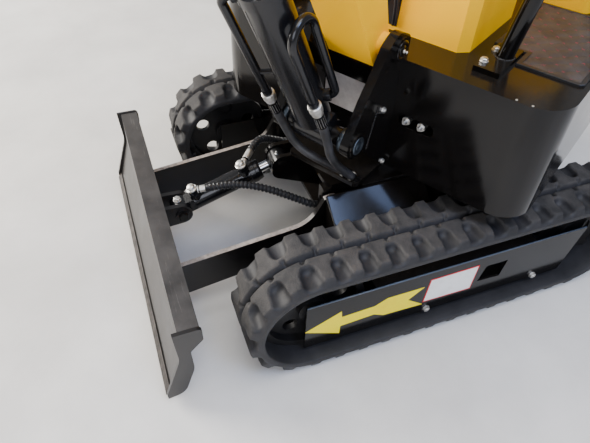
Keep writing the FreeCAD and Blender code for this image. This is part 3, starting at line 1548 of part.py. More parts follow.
# Upper structure
ring_top = Part.makeCylinder(RING_SPLIT, RING_TOP - RING_FLOOR - 6, V(0, 0, RING_FLOOR + 6))
ring_top = ring_top.cut(Part.makeCylinder(RING_INNER, 100, V(0, 0, RING_FLOOR)))
on_upper("slew_ring_top", ring_top)
on_upper("upper_frame", upper_frame())
on_upper("boom_bracket", boom_bracket())
on_upper("console", console())
on_upper("canopy_posts", canopy_posts())
on_upper("canopy_roof", canopy_roof())
on_upper("control_levers", control_levers())
on_upper("engine_hood", engine_hood())
on_upper("engine", box(*ENGINE_BLOCK, DECK_TOP, DECK_TOP + ENGINE_HEIGHT))
on_upper("counterweight", counterweight())
on_upper("seat_cushion", seat_cushion())
on_upper("seat_back", seat_back())
on_upper("skirt_fittings", skirt_fittings())
mat_outline = [(83, 318), (83, 470, 30), (-290, 470), (-290, 240), (20, 240), (20, 318)]
on_upper("floor_mat", slab(mat_outline, DECK_TOP, DECK_TOP + 6))

# Working arm
on_upper("boom", boom())
barrel, rod = hydraulic_cylinder(
    BOOM_CYL_BASE,
    BOOM_CYL_EYE,
    BOOM_CYL_SHORTEST,
    BOOM_CYL_RADIUS,
    20,
    36,
    94,
    CYL_PIN,
    6.0,
)
on_upper("boom_cylinder_barrel", fused(barrel, *boom_cylinder_pipes()))
for name, hose in boom_hoses().items():
    on_upper(name, hose)
on_upper("boom_cylinder_rod", rod)
ARM_CYL_SHORTEST = 572.0
barrel, rod = hydraulic_cylinder(
    ARM_CYL_BASE,
    ARM_CYL_EYE,
    ARM_CYL_SHORTEST,
    32,
    16,
    28,
    CYL_EAR_GAP,
    CYL_PIN,
)
on_upper("arm_cylinder_barrel", barrel)
on_upper("arm_cylinder_rod", rod)
on_upper("arm", arm())
BUCKET_CYL_SHORTEST = 372.0
barrel, rod = hydraulic_cylinder(
    BUCKET_CYL_BASE,
    ROCKER_PIN,
    BUCKET_CYL_SHORTEST,
    29,
    15,
    26,
    CYL_EAR_GAP,
    CYL_PIN,
)
on_upper("bucket_cylinder_barrel", barrel)
on_upper("bucket_cylinder_rod", rod)
on_upper("rocker", rocker())
on_upper("bucket_link", bucket_link())
on_upper("bucket", bucket())

os.makedirs("parts", exist_ok=True)
for name, shape in nodes.items():
    shape.exportStep("parts/" + name + ".step")
    print(
        name,
        "solids",
        len(shape.Solids),
        "valid",
        shape.isValid(),
        "litres",
        round(shape.Volume / 1e6, 2),
    )
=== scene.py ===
import math

import bmesh
import bpy
from mathutils import Matrix, Vector


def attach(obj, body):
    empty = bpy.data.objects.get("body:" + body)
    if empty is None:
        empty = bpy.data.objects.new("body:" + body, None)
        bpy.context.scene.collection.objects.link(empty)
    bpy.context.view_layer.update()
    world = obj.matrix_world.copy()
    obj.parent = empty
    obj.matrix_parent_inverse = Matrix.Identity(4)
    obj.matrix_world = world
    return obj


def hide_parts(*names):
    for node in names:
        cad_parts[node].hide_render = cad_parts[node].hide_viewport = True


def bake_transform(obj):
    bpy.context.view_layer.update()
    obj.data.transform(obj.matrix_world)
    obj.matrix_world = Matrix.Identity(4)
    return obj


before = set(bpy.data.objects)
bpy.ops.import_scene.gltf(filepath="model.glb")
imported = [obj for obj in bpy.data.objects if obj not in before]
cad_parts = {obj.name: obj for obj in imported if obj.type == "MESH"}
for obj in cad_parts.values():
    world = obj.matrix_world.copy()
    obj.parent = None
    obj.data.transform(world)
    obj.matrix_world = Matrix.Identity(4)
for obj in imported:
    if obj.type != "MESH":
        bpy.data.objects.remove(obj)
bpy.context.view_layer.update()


# Camera. It stands above the machine's front left corner and looks steeply down on the blade and the left track.
# Its place and lens were worked out from the picture, 590 by 443 pixels, by the real sizes of the track and blade.
FRAME_WIDTH = 590
FOCAL_PIXELS = 530.83
SENSOR_WIDTH = 36.0
SLEW_AXIS = Vector((-0.124, 0.317, 0.0))
CAMERA_FROM_SLEW_AXIS = Vector((1.15892, -0.77439, 1.32178))
CAMERA_AZIMUTH = math.radians(67.734)
CAMERA_DOWN = math.radians(45.378)
CAMERA_ROLL = math.radians(2.380)

looking = Vector((
    -math.sin(CAMERA_AZIMUTH) * math.cos(CAMERA_DOWN),
    math.cos(CAMERA_AZIMUTH) * math.cos(CAMERA_DOWN),
    -math.sin(CAMERA_DOWN),
))
level_right = Vector((math.cos(CAMERA_AZIMUTH), math.sin(CAMERA_AZIMUTH), 0.0))
level_up = level_right.cross(looking)
right = math.cos(CAMERA_ROLL) * level_right + math.sin(CAMERA_ROLL) * level_up
up = -math.sin(CAMERA_ROLL) * level_right + math.cos(CAMERA_ROLL) * level_up
camera_data = bpy.data.cameras.new("camera")
camera_data.sensor_width = SENSOR_WIDTH
camera_data.lens = FOCAL_PIXELS / FRAME_WIDTH * SENSOR_WIDTH
camera = bpy.data.objects.new("camera", camera_data)
bpy.context.scene.collection.objects.link(camera)
turn = Matrix((right, up, -looking)).transposed().to_4x4()
camera.matrix_world = Matrix.Translation(SLEW_AXIS + CAMERA_FROM_SLEW_AXIS) @ turn
bpy.context.scene.camera = camera


# Studio. A plain pale floor of trowelled concrete under plain soft light: a broad doorway of daylight in front, a
# sheet of light overhead, a cooler window beside the machine, and an even pale surround that the gloss paint mirrors.
def linear(code):
    """An sRGB hex colour as linear red, green, blue and alpha"""
    parts = [int(code[n:n + 2], 16) / 255 for n in (1, 3, 5)]
    return tuple(c / 12.92 if c <= 0.04045 else ((c + 0.055) / 1.055) ** 2.4 for c in parts) + (1.0,)


def add(tree, kind, settings=None, wires=None):
    """Adds a node, sets its properties and its inputs, and joins inputs to (node, output) pairs"""
    made = tree.nodes.new(kind)
    for name, value in (settings or {}).items():
        if str(name) in made.bl_rna.properties:
            setattr(made, name, value)
        else:
            made.inputs[name].default_value = value
    for name, (source, output) in (wires or {}).items():
        tree.links.new(source.outputs[output], made.inputs[name])
    return made


def new_finish(name):
    """A new material with an empty tree, and the output that gives places on the object"""
    material = bpy.data.materials.new(name)
    material.use_nodes = True
    tree = material.node_tree
    tree.nodes.clear()
    return material, tree, (add(tree, "ShaderNodeTexCoord"), "Object")


def two_tones(tree, mask, low, high, low_at, high_at):
    """A colour that runs from low to high as the mask goes from low_at to high_at"""
    ramp = add(tree, "ShaderNodeValToRGB", wires={"Fac": mask})
    for stop, position, code in zip(ramp.color_ramp.elements, (low_at, high_at), (low, high)):
        stop.position, stop.color = position, linear(code)
    return ramp, "Color"


def clouded(name, cloud, tones, settings=None, gloss=None, relief=None):
    """A finish in one clouded tone. Cloud is the scale, detail and roughness of its noise, gloss the range of the
    shader's roughness, and relief a texture's kind, its own scale and detail, and its bumps' strength and depth."""
    material, tree, place = new_finish(name)
    labels = ("Scale", "Detail", "Roughness")
    mask = add(tree, "ShaderNodeTexNoise", dict(zip(labels, cloud)), {"Vector": place}), 0
    wires = {}
    if tones:
        wires["Base Color"] = two_tones(tree, mask, *tones)
    if gloss:
        wires["Roughness"] = add(tree, "ShaderNodeMapRange", {3: gloss[0], 4: gloss[1]}, {0: mask}), 0
    if relief:
        kind, pattern, strength, depth = relief
        grain = add(tree, "ShaderNodeTex" + kind, dict(zip(labels, pattern)), {"Vector": place})
        bump = add(tree, "ShaderNodeBump", {"Strength": strength, "Distance": depth}, {"Height": (grain, 0)})
        wires["Normal"] = bump, 0
    shader = add(tree, "ShaderNodeBsdfPrincipled", settings, wires)
    add(tree, "ShaderNodeOutputMaterial", wires={"Surface": (shader, 0)})
    return material


world = bpy.data.worlds.new("surround")
world.use_nodes = True
background = world.node_tree.nodes["Background"].inputs
background["Color"].default_value = linear("#e9edf3")
background["Strength"].default_value = 0.5
bpy.context.scene.world = world
LIGHTS = (
    # name, place, aim, size, watts, colour
    ("doorway", (-3.6, -4.3, 2.6), (-0.7, -0.2, 0.0), 3.2, 800.0, "#fffaf2"),
    ("overhead", (0.8, 0.2, 4.8), (0.0, 0.0, 0.3), 3.2, 190.0, "#ffffff"),
    ("window", (2.35, 0.95, 3.65), (0.2, 0.95, 0.3), 1.1, 64.0, "#a9c4ff"),
    ("side", (3.6, -1.6, 2.4), (0.1, -0.2, 0.5), 2.2, 80.0, "#eef2ff"),
)
for name, place, aim, size, watts, colour in LIGHTS:
    lamp = bpy.data.lights.new(name, "AREA")
    lamp.shape = "SQUARE"
    lamp.size = size
    lamp.energy = watts
    lamp.color = linear(colour)[:3]
    holder = bpy.data.objects.new(name, lamp)
    holder.location = place
    holder.rotation_euler = (Vector(aim) - Vector(place)).to_track_quat("-Z", "Y").to_euler()
    bpy.context.scene.collection.objects.link(holder)

FLOOR_HALF = 9.0
FLOOR_HEIGHT = -0.0006
corners = [(x * FLOOR_HALF, y * FLOOR_HALF, FLOOR_HEIGHT) for x, y in ((-1, -1), (1, -1), (1, 1), (-1, 1))]
floor_mesh = bpy.data.meshes.new("floor")
floor_mesh.from_pydata(corners, [], [(0, 1, 2, 3)])
floor = bpy.data.objects.new("floor", floor_mesh)
bpy.context.scene.collection.objects.link(floor)
floor_mesh.materials.append(clouded(
    "trowelled_pale_concrete", (1.6, 7.0, 0.62), ("#d3d0cb", "#e6e3de", 0.36, 0.62), {"Roughness": 0.7}))


# Pressure hoses: wrapped black rubber, 21 mm on the boom cylinder and 17 mm on the blade cylinder. Each is crimped
# in its ferrule and pushed over its sleeve on the machine.
MM = 0.001
SLEW = math.radians(31.0)
AHEAD = Vector((math.sin(SLEW), -math.cos(SLEW), 0.0))
ASIDE = Vector((math.cos(SLEW), math.sin(SLEW), 0.0))
BOOM_CYLINDER_BASE = (389.0, 579.0)
BOOM_CYLINDER_ANGLE = math.radians(63.0)
BLADE_CYLINDER_BASE = (664.0, 236.0)
BLADE_CYLINDER_EYE = (362.0, 336.0)
BLADE_CYLINDER_ANGLE = math.atan2(
    BLADE_CYLINDER_EYE[1] - BLADE_CYLINDER_BASE[1], BLADE_CYLINDER_EYE[0] - BLADE_CYLINDER_BASE[0])


def on_base(u, v, z):
    """A place on the undercarriage: forward of the slew axis, to the left of it, and up, in millimetres"""
    return Vector((SLEW_AXIS.x + v * MM, SLEW_AXIS.y - u * MM, z * MM))


def on_upper(u, v, z):
    """A place on the upper structure, which is slewed to the left"""
    place = SLEW_AXIS + (AHEAD * u + ASIDE * v) * MM
    return Vector((place.x, place.y, z * MM))


def off_cylinder(on_body, base, angle, along, lateral, off):
    """A place off a cylinder: along it from its base pin, to the left of it, and square off its upper side"""
    c, s = math.cos(angle), math.sin(angle)
    return on_body(base[0] + along * c + off * s, lateral, base[1] + along * s - off * c)


def beside_boom_cylinder(along, lateral, front):
    """A place beside the boom cylinder's barrel"""
    return off_cylinder(on_upper, BOOM_CYLINDER_BASE, BOOM_CYLINDER_ANGLE, along, lateral, front)


def above_blade_cylinder(along, lateral, rise):
    """A place above the blade cylinder's barrel"""
    return off_cylinder(on_base, BLADE_CYLINDER_BASE, BLADE_CYLINDER_ANGLE, along, lateral, rise)


def new_piece(name, mesh, material=None):
    """An object at the origin that shows a mesh in one finish"""
    if material:
        mesh.materials.append(material)
    piece = bpy.data.objects.new(name, mesh)
    bpy.context.scene.collection.objects.link(piece)
    return piece


def along_spline(points):
    """Points read from the smooth spline that has the given places as its control points"""
    curve = bpy.data.curves.new("route", "CURVE")
    curve.dimensions = "3D"
    curve.resolution_u = 16
    spline = curve.splines.new("NURBS")
    spline.points.add(len(points) - 1)
    for n, point in enumerate(points):
        spline.points[n].co = (*point, 1.0)
    spline.order_u = 3
    spline.use_endpoint_u = True
    route = bpy.data.objects.new("route", curve)
    bpy.context.scene.collection.objects.link(route)
    mesh = bpy.data.meshes.new_from_object(route.evaluated_get(bpy.context.evaluated_depsgraph_get()))
    places = [v.co.copy() for v in mesh.vertices]
    bpy.data.objects.remove(route)
    bpy.data.meshes.remove(mesh)
    return places


def carried_frames(places):
    """For each place its direction and two cross directions, carried along without twist"""
    frames = []
    across = None
    for n, place in enumerate(places):
        ahead = (places[min(n + 1, len(places) - 1)] - places[max(n - 1, 0)]).normalized()
        if across is None:
            across = ahead.orthogonal().normalized()
        across = (across - ahead * across.dot(ahead)).normalized()
        frames.append((place, ahead, across, ahead.cross(across)))
    return frames


def ring_faces(count, size, looped=False):
    """Faces between rings of points, each ring joined to the next, and the last one to the first where looped"""
    faces = []
    for r in range(count if looped else count - 1):
        after = (r + 1) % count
        for n in range(size):
            m = (n + 1) % size
            faces.append((r * size + n, r * size + m, after * size + m, after * size + n))
    return faces


def solid_mesh(name, points, faces):
    """A mesh of a closed form, its faces turned outward"""
    mesh = bpy.data.meshes.new(name)
    mesh.from_pydata(points, [], faces)
    worked = bmesh.new()
    worked.from_mesh(mesh)
    bmesh.ops.recalc_face_normals(worked, faces=worked.faces)
    worked.to_mesh(mesh)
    worked.free()
    return mesh


def ring_mesh(name, rings, looped=False, smooth=False):
    """A closed form over rings of points, capped or looped; where smooth, its four-sided faces are"""
    count, size = len(rings), len(rings[0])
    faces = ring_faces(count, size, looped)
    if not looped:
        faces += [tuple(range(size)), tuple(range((count - 1) * size, count * size))]
    mesh = solid_mesh(name, [point for ring in rings for point in ring], faces)
    mesh.polygons.foreach_set("use_smooth", [smooth and len(face.vertices) == 4 for face in mesh.polygons])
    return mesh


def tube_mesh(name, places, radius, sides):
    """A closed round tube through the places"""
    angles = [2 * math.pi * n / sides for n in range(sides)]
    return ring_mesh(name, [
        [place + radius * (math.cos(angle) * across + math.sin(angle) * other) for angle in angles]
        for place, ahead, across, other in carried_frames(places)], smooth=True)


def spiral_guard_mesh(name, places, radius, pitch, bar):
    """A coil of flat plastic wound round the hose: pitch apart, its half-round bar lying on the hose"""
    ends = 0.005
    per_turn = 14
    section = ((-bar, 0.0), (-bar * 0.7, bar * 0.62), (0.0, bar * 0.85), (bar * 0.7, bar * 0.62), (bar, 0.0))
    frames = carried_frames(places)
    travels = [0.0]
    for before, after in zip(places, places[1:]):
        travels.append(travels[-1] + (after - before).length)
    rings = []
    for k in range(int((travels[-1] - 2 * ends) / pitch * per_turn)):
        travel = ends + k / per_turn * pitch
        n = min(max(i for i in range(len(travels)) if travels[i] <= travel), len(travels) - 2)
        share = (travel - travels[n]) / (travels[n + 1] - travels[n])
        centre = places[n].lerp(places[n + 1], share)
        place, ahead, across, other = frames[n]
        angle = 2 * math.pi * k / per_turn
        outward = math.cos(angle) * across + math.sin(angle) * other
        rings.append([centre + outward * (radius + rise) + ahead * shift for shift, rise in section])
    return ring_mesh(name, rings)


# Wrapped rubber shows the weave of the cloth it was cured in, 1 mm apart, under a dull black skin
hose_rubber = clouded("wrapped_hose_rubber", (30.0, 6.0), ("#1b1b1d", "#39393c", 0.35, 0.7), {"Roughness": 0.5},
                      relief=("Noise", (700.0, 2.0), 0.3, 0.0005))
# The guard is glossy extruded polyethylene
guard_plastic = clouded("extruded_guard_plastic", (160.0, 3.0), None, {"Base Color": linear("#17171a")}, (0.22, 0.42))

front_banjo = above_blade_cylinder(58.0, 18.0, 52.0)
front_aim = (on_base(512.0, 46.0, 322.0) - front_banjo).normalized()
rear_banjo = above_blade_cylinder(212.0, 18.0, 52.0)
rear_aim = (above_blade_cylinder(264.0, -36.0, 52.0) - rear_banjo).normalized()
FERRULE_FRONT = 38.0
FERRULE_REAR = 62.0
HOSES = (
    # name, node, radius in mm, body that carries its end, body that its start follows, control points from its start
    ("boom_hose_near", "boom_hose_left", 10.5, "upper", "boom_barrel", (
        beside_boom_cylinder(95.0, 60.0, 32.0), beside_boom_cylinder(46.0, 60.0, 32.0),
        on_upper(412.0, 63.0, 514.0), on_upper(352.0, 90.0, 449.0))),
    ("boom_hose_far", "boom_hose_right", 10.5, "upper", "boom_barrel", (
        beside_boom_cylinder(79.0, -70.0, 39.0), beside_boom_cylinder(30.0, -70.0, 39.0),
        on_upper(420.0, -38.0, 522.0), on_upper(402.0, 22.0, 497.0), on_upper(350.0, 61.0, 449.0))),
    ("blade_hose_guarded", "blade_hose_front", 8.5, "undercarriage", "blade", (
        front_banjo + front_aim * FERRULE_FRONT * MM, on_base(512.0, 46.0, 322.0), on_base(432.0, 80.0, 312.0),
        on_base(350.0, 128.0, 286.0), on_base(298.0, 150.0, 260.0), on_base(247.0, 150.0, 260.0))),
    ("blade_hose_plain", "blade_hose_rear", 8.5, "undercarriage", "blade", (
        rear_banjo + rear_aim * FERRULE_REAR * MM, rear_banjo + rear_aim * (FERRULE_REAR + 46.0) * MM,
        on_base(370.0, -81.0, 356.0), on_base(330.0, -83.0, 337.0), on_base(290.0, -77.0, 328.0),
        on_base(247.0, -76.0, 331.0))),
)
GUARD_PITCH = 0.0112
GUARD_BAR = 0.0043
GUARD_SINK = 0.0004
HOSE_SIDES = 20
for name, node, radius, fixed_body, moving_body, points in HOSES:
    places = along_spline(points)
    hose = new_piece(name, tube_mesh(name, places, radius * MM, HOSE_SIDES), hose_rubber)
    extras = []
    if name.startswith("blade"):
        coil = spiral_guard_mesh(name + "_guard", places, radius * MM - GUARD_SINK, GUARD_PITCH, GUARD_BAR)
        extras.append(new_piece(name + "_guard", coil, guard_plastic))
    for piece in [hose] + extras:
        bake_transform(piece)
    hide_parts(node)


# Steelwork in black gloss enamel: car body, track frames, deck and skirt, boom bracket, blade arms, posts.
# It is welded plate, sprayed and stoved, so it mirrors what stands round it, with a faint orange peel and some dust.
def coat_node(name, material):
    """Gives a node of the frame its finish in every slot"""
    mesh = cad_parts[name].data
    if not mesh.materials:
        mesh.materials.append(material)
    for n in range(len(mesh.materials)):
        mesh.materials[n] = material


def enamel(name, colour, faded, dust, rough, dust_share, mirror=0.5):
    """Sprayed enamel: its colour clouds a little, dust lies on what faces up, and its gloss varies"""
    material, tree, place = new_finish(name)
    at = {"Vector": place}
    cloud = add(tree, "ShaderNodeTexNoise", {"Scale": 4.0, "Detail": 5.0, "Roughness": 0.6}, at)
    body = add(tree, "ShaderNodeMix", {"data_type": "RGBA", 6: linear(colour), 7: linear(faded)}, {0: (cloud, 0)})
    height = add(tree, "ShaderNodeSeparateXYZ", wires={0: (add(tree, "ShaderNodeNewGeometry"), "Normal")})
    speck = add(tree, "ShaderNodeTexNoise", {"Scale": 70.0, "Detail": 8.0, "Roughness": 0.75}, at)
    speckled = add(tree, "ShaderNodeMapRange", {1: 0.35, 2: 0.65, 3: 0.35, 4: 1.0}, {0: (speck, 0)})
    upward = add(tree, "ShaderNodeMapRange", {1: 0.55, 2: 1.0, 3: 0.0, 4: dust_share}, {0: (height, "Z")})
    mask = add(tree, "ShaderNodeMath", {"operation": "MULTIPLY"}, {0: (upward, 0), 1: (speckled, 0)})
    tone = add(tree, "ShaderNodeMix", {"data_type": "RGBA", 7: linear(dust)}, {0: (mask, 0), 6: (body, 2)})
    gloss = add(tree, "ShaderNodeMapRange", {1: 0.3, 2: 0.7, 3: rough * 0.8, 4: rough * 1.3}, {0: (cloud, 0)})
    dulled = add(tree, "ShaderNodeMath", {"operation": "ADD"}, {0: (gloss, 0), 1: (mask, 0)})
    peel = add(tree, "ShaderNodeTexNoise", {"Scale": 260.0, "Detail": 2.0}, at)
    bump = add(tree, "ShaderNodeBump", {"Strength": 0.05, "Distance": 0.0006}, {"Height": (peel, 0)})
    shader = add(tree, "ShaderNodeBsdfPrincipled", {"Specular IOR Level": mirror},
                 {"Base Color": (tone, 2), "Roughness": (dulled, 0), "Normal": (bump, 0)})
    add(tree, "ShaderNodeOutputMaterial", wires={"Surface": (shader, 0)})
    return material


black_enamel = enamel("black_gloss_enamel", "#080707", "#110f0e", "#5d554b", 0.12, 0.08, 0.29)
for name in ("car_body", "track_frame_left", "track_frame_right", "upper_frame", "boom_bracket", "canopy_posts",
             "counterweight", "slew_ring_base", "slew_ring_top"):
    coat_node(name, black_enamel)
# The arms' top edges are pale from the dust of the yard
coat_node("blade_arms", enamel("dusty_black_enamel", "#0a0909", "#161312", "#b9aca2", 0.2, 0.85, 0.4))


# Fasteners and grease nipples: zinc plated steel, cold headed and rolled, put in with flat washers. The plating
# is pale and a little cloudy, and mirrors softly.
zinc = clouded("zinc_plated_steel", (90.0, 5.0), ("#c4c2bb", "#eceae6", 0.3, 0.7), {"Metallic": 1.0}, (0.3, 0.5))
coat_node("skirt_fittings", zinc)


def turned_mesh(name, profile, sides):
    """A solid turned about Z from (radius, height) stations, closed at both ends"""
    angles = [2 * math.pi * n / sides for n in range(sides)]
    return ring_mesh(name, [
        [Vector((radius * math.cos(angle), radius * math.sin(angle), height)) * MM for angle in angles]
        for radius, height in profile])


def joined(name, meshes):
    """Several meshes as one"""
    worked = bmesh.new()
    for mesh in meshes:
        worked.from_mesh(mesh)
    made = bpy.data.meshes.new(name)
    worked.to_mesh(made)
    worked.free()
    return made


def scatter_tree():
    """Sets an item on each point of a mesh, its axis along the point's own direction, at the point's own size"""
    tree = bpy.data.node_groups.new("item_on_each_place", "GeometryNodeTree")
    for name, kind in (("Places", "Geometry"), ("Item", "Object"), ("Finish", "Material")):
        tree.interface.new_socket(name, in_out="INPUT", socket_type="NodeSocket" + kind)
    tree.interface.new_socket("Set piece", in_out="OUTPUT", socket_type="NodeSocketGeometry")
    entry = add(tree, "NodeGroupInput")
    item = add(tree, "GeometryNodeObjectInfo", {"transform_space": "ORIGINAL"}, {"Object": (entry, "Item")})
    axis = add(tree, "GeometryNodeInputNamedAttribute", {"data_type": "FLOAT_VECTOR", "Name": "axis"})
    size = add(tree, "GeometryNodeInputNamedAttribute", {"data_type": "FLOAT", "Name": "size"})
    turned = add(tree, "FunctionNodeAlignRotationToVector", {"axis": "Z"}, {"Vector": (axis, "Attribute")})
    placed = add(tree, "GeometryNodeInstanceOnPoints", wires={
        "Points": (entry, "Places"), "Instance": (item, "Geometry"),
        "Rotation": (turned, "Rotation"), "Scale": (size, "Attribute")})
    real = add(tree, "GeometryNodeRealizeInstances", wires={"Geometry": (placed, "Instances")})
    finish = add(tree, "GeometryNodeSetMaterial", wires={"Geometry": (real, 0), "Material": (entry, "Finish")})
    add(tree, "NodeGroupOutput", wires={"Set piece": (finish, 0)})
    return tree


SCATTER = scatter_tree()


def scattered(name, places, item_mesh, material, body, smooth=False):
    """One mesh of like items on (place, axis, size) rows, riding on a body"""
    mesh = bpy.data.meshes.new(name + "_places")
    mesh.from_pydata([tuple(p) for p, axis, size in places], [], [])
    mesh.attributes.new("axis", "FLOAT_VECTOR", "POINT")
    mesh.attributes.new("size", "FLOAT", "POINT")
    mesh.attributes["axis"].data.foreach_set("vector", [c for p, axis, size in places for c in axis])
    mesh.attributes["size"].data.foreach_set("value", [size for p, axis, size in places])
    piece = new_piece(name, mesh)
    item = new_piece(name + "_item", item_mesh)
    modifier = piece.modifiers.new("scatter", "NODES")
    modifier.node_group = SCATTER
    for socket in SCATTER.interface.items_tree:
        if socket.name == "Item":
            modifier[socket.identifier] = item
        if socket.name == "Finish":
            modifier[socket.identifier] = material
    made = bpy.data.meshes.new_from_object(piece.evaluated_get(bpy.context.evaluated_depsgraph_get()))
    made.name = name
    piece.modifiers.remove(modifier)
    piece.data = made
    bpy.data.objects.remove(item)
    for polygon in made.polygons:
        polygon.use_smooth = smooth
    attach(piece, body)
    return piece


# A hexagon bolt of 10 mm thread on its washer, 1.0 in size, and a grease nipple on its hexagon
hexagon_bolt = joined("hexagon_bolt", [
    turned_mesh("washer", [(10.5, 0.0), (10.5, 2.0)], 24),
    turned_mesh("head", [(9.2, 1.8), (9.2, 7.4), (8.0, 8.2)], 6),
    turned_mesh("end", [(5.0, 8.0), (4.6, 9.4)], 12),
])
grease_nipple = joined("grease_nipple", [
    turned_mesh("hexagon", [(5.2, 0.0), (5.2, 4.0)], 6),
    turned_mesh("neck", [(2.4, 3.8), (2.4, 7.0), (3.2, 8.0), (3.4, 9.6), (2.4, 11.2), (1.0, 11.8)], 14),
])
LEFTWARD = Vector((1.0, 0.0, 0.0))
UPWARD = Vector((0.0, 0.0, 1.0))


def pair(on_body, u, v, z, size=1.0, axis=None):
    """Rows for a place on the left and its like on the right; the axis points outward where none is given"""
    across = LEFTWARD if on_body is on_base else ASIDE
    return [(on_body(u, side * v, z), across * side if axis is None else axis, size) for side in (1, -1)]


rollers = pair(on_base, 74.0, 465.0, 72.0, 1.05) + pair(on_base, -299.0, 465.0, 72.0, 1.05)
scattered("roller_bolts", rollers, hexagon_bolt, zinc, "undercarriage")
post_feet = [row for u in (138.0, 71.0) for row in pair(on_upper, u, 263.0, 742.5, axis=UPWARD)]
scattered("post_bolts", post_feet, hexagon_bolt, zinc, "upper")
cheeks = pair(on_upper, 283.0, 110.0, 621.0, 0.75) + pair(on_upper, 240.0, 110.0, 441.0, 0.75)
scattered("bracket_bolts", cheeks, hexagon_bolt, zinc, "upper")
deck_edge = [row for v in (377.0, 412.0) for row in pair(on_upper, 221.0, v, 729.0, 0.3, UPWARD)]
scattered("deck_screws", deck_edge, hexagon_bolt, zinc, "upper")


# Cover of the boom cylinder's passage: a sheet between the bracket's cheeks, cut flat and held by four small screws
# in its corners. Its pale tone, with only half metal, is a painted reflection of the bright floor.
pale_reflection_sheet_finish = clouded("pale_sheet_painted_reflection", (35.0, 7.0, 0.7), ("#cfc8c5", "#e9e4e1", 0.35, 0.7), {"Metallic": 0.5},
                     (0.5, 0.65))
COVER_BACK, COVER_FRONT = 240.4, 242.0
COVER_EDGE = ((-86.0, 548.0), (86.0, 548.0), (86.0, 640.0), (-86.0, 640.0))
cover = ring_mesh("passage_cover", [[on_upper(u, v, z) for v, z in COVER_EDGE] for u in (COVER_BACK, COVER_FRONT)])
cover_piece = new_piece("passage_cover", cover, pale_reflection_sheet_finish)
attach(cover_piece, "upper")
cover_screws = [(on_upper(COVER_FRONT, v, z), AHEAD, 0.45) for v in (-76.0, 76.0) for z in (558.0, 630.0)]
scattered("cover_screws", cover_screws, hexagon_bolt, zinc, "upper")


# Grease nipples and the ends of the pins: zinc plated nipples and eye bolt, black keeper discs on the boom's foot pin,
# and a black hexagon on each end of the blade cylinder's pin, all turned or cold headed.
scattered("bracket_nipples", pair(on_upper, 250.0, 119.0, 760.0, 0.9), grease_nipple, zinc, "upper", True)
rod_eye_top = [(above_blade_cylinder(318.0, 8.0, 27.0), UPWARD, 1.0)]
scattered("rod_eye_nipple", rod_eye_top, grease_nipple, zinc, "blade_rod", True)
barrel_eye_top = [(above_blade_cylinder(2.0, 0.0, 27.0), UPWARD, 1.15)]
scattered("barrel_eye_bolt", barrel_eye_top, hexagon_bolt, zinc, "blade_barrel")
keeper = turned_mesh("keeper", [
    (24.0, 0.0), (24.0, 2.0), (22.5, 3.4), (15.0, 3.4), (14.0, 2.2), (12.5, 2.2), (11.5, 3.6), (5.0, 3.8)], 32)
foot_pin = pair(on_upper, 250.0, 115.6, 760.0)
scattered("foot_pin_keepers", foot_pin, keeper, black_enamel, "upper", True)
# The boom cylinder's foot pin is turned steel, phosphated to a dull blue grey. It has a head outside each cheek and a
# collar inside it, which keeps the barrel's eye in the middle
phosphated = clouded("phosphated_turned_steel", (120.0, 5.0), ("#3d4650", "#626b75", 0.35, 0.7), {"Metallic": 1.0},
                     (0.34, 0.5))
head_places = pair(on_upper, 389.0, 115.6, 579.0, 0.92)
scattered("cylinder_foot_pin_heads", head_places, keeper, phosphated, "upper", True)
collar = turned_mesh("collar", [(24.3, 0.0), (30.0, 0.0), (31.0, 1.0), (31.0, 12.0), (30.0, 13.0), (24.3, 13.0)], 32)
collar_places = pair(on_upper, 389.0, 74.6, 579.0)
scattered("cylinder_foot_collars", collar_places, collar, phosphated, "upper", True)
pin_hexagon = turned_mesh("pin_hexagon", [(15.0, 0.0), (15.0, 8.0), (13.0, 10.0)], 6)
pin_ends = pair(on_base, 664.0, 42.0, 236.0)
scattered("cylinder_pin_ends", pin_ends, pin_hexagon, black_enamel, "blade")


# Tracks: endless belts of moulded carbon black rubber over steel cords, 180 mm wide, 37 links of 72 mm. Two staggered
# rows of lugs have round scoops between them that open outward, and guide lugs inside keep the belt on its rollers.
LINK_PITCH = 72.0
LINK_COUNT = 37
WHEEL_RADIUS = 147.5
BELT_THICKNESS = 18.0
LUG_HEIGHT = 22.0
PITCH_RADIUS = WHEEL_RADIUS + BELT_THICKNESS / 2
WHEELBASE = (LINK_COUNT * LINK_PITCH - 2 * math.pi * PITCH_RADIUS) / 2
WHEEL_HEIGHT = WHEEL_RADIUS + BELT_THICKNESS + LUG_HEIGHT
TRACK_CENTRE = 410.0
SCOOP_RADIUS = 18.5
SCOOP_END = 45.0
SCOOP_FLARE = 4.0
SAMPLES_PER_LINK = 24


def ease(value):
    """0 below 0, 1 above 1, and a smooth rise between"""
    value = min(1.0, max(0.0, value))
    return value * value * (3 - 2 * value)


def on_track(travel, radius):
    """Forward distance and height at a travel round the track and a distance from the line of the wheels' centres"""
    bend = math.pi * PITCH_RADIUS
    travel = travel % (2 * WHEELBASE + 2 * bend)
    if travel < WHEELBASE:
        return -WHEELBASE / 2 + travel, WHEEL_HEIGHT + radius
    travel -= WHEELBASE
    if travel < bend:
        angle = math.pi / 2 - travel / PITCH_RADIUS
        return WHEELBASE / 2 + radius * math.cos(angle), WHEEL_HEIGHT + radius * math.sin(angle)
    travel -= bend
    if travel < WHEELBASE:
        return WHEELBASE / 2 - travel, WHEEL_HEIGHT - radius
    angle = -math.pi / 2 - (travel - WHEELBASE) / PITCH_RADIUS
    return -WHEELBASE / 2 + radius * math.cos(angle), WHEEL_HEIGHT + radius * math.sin(angle)


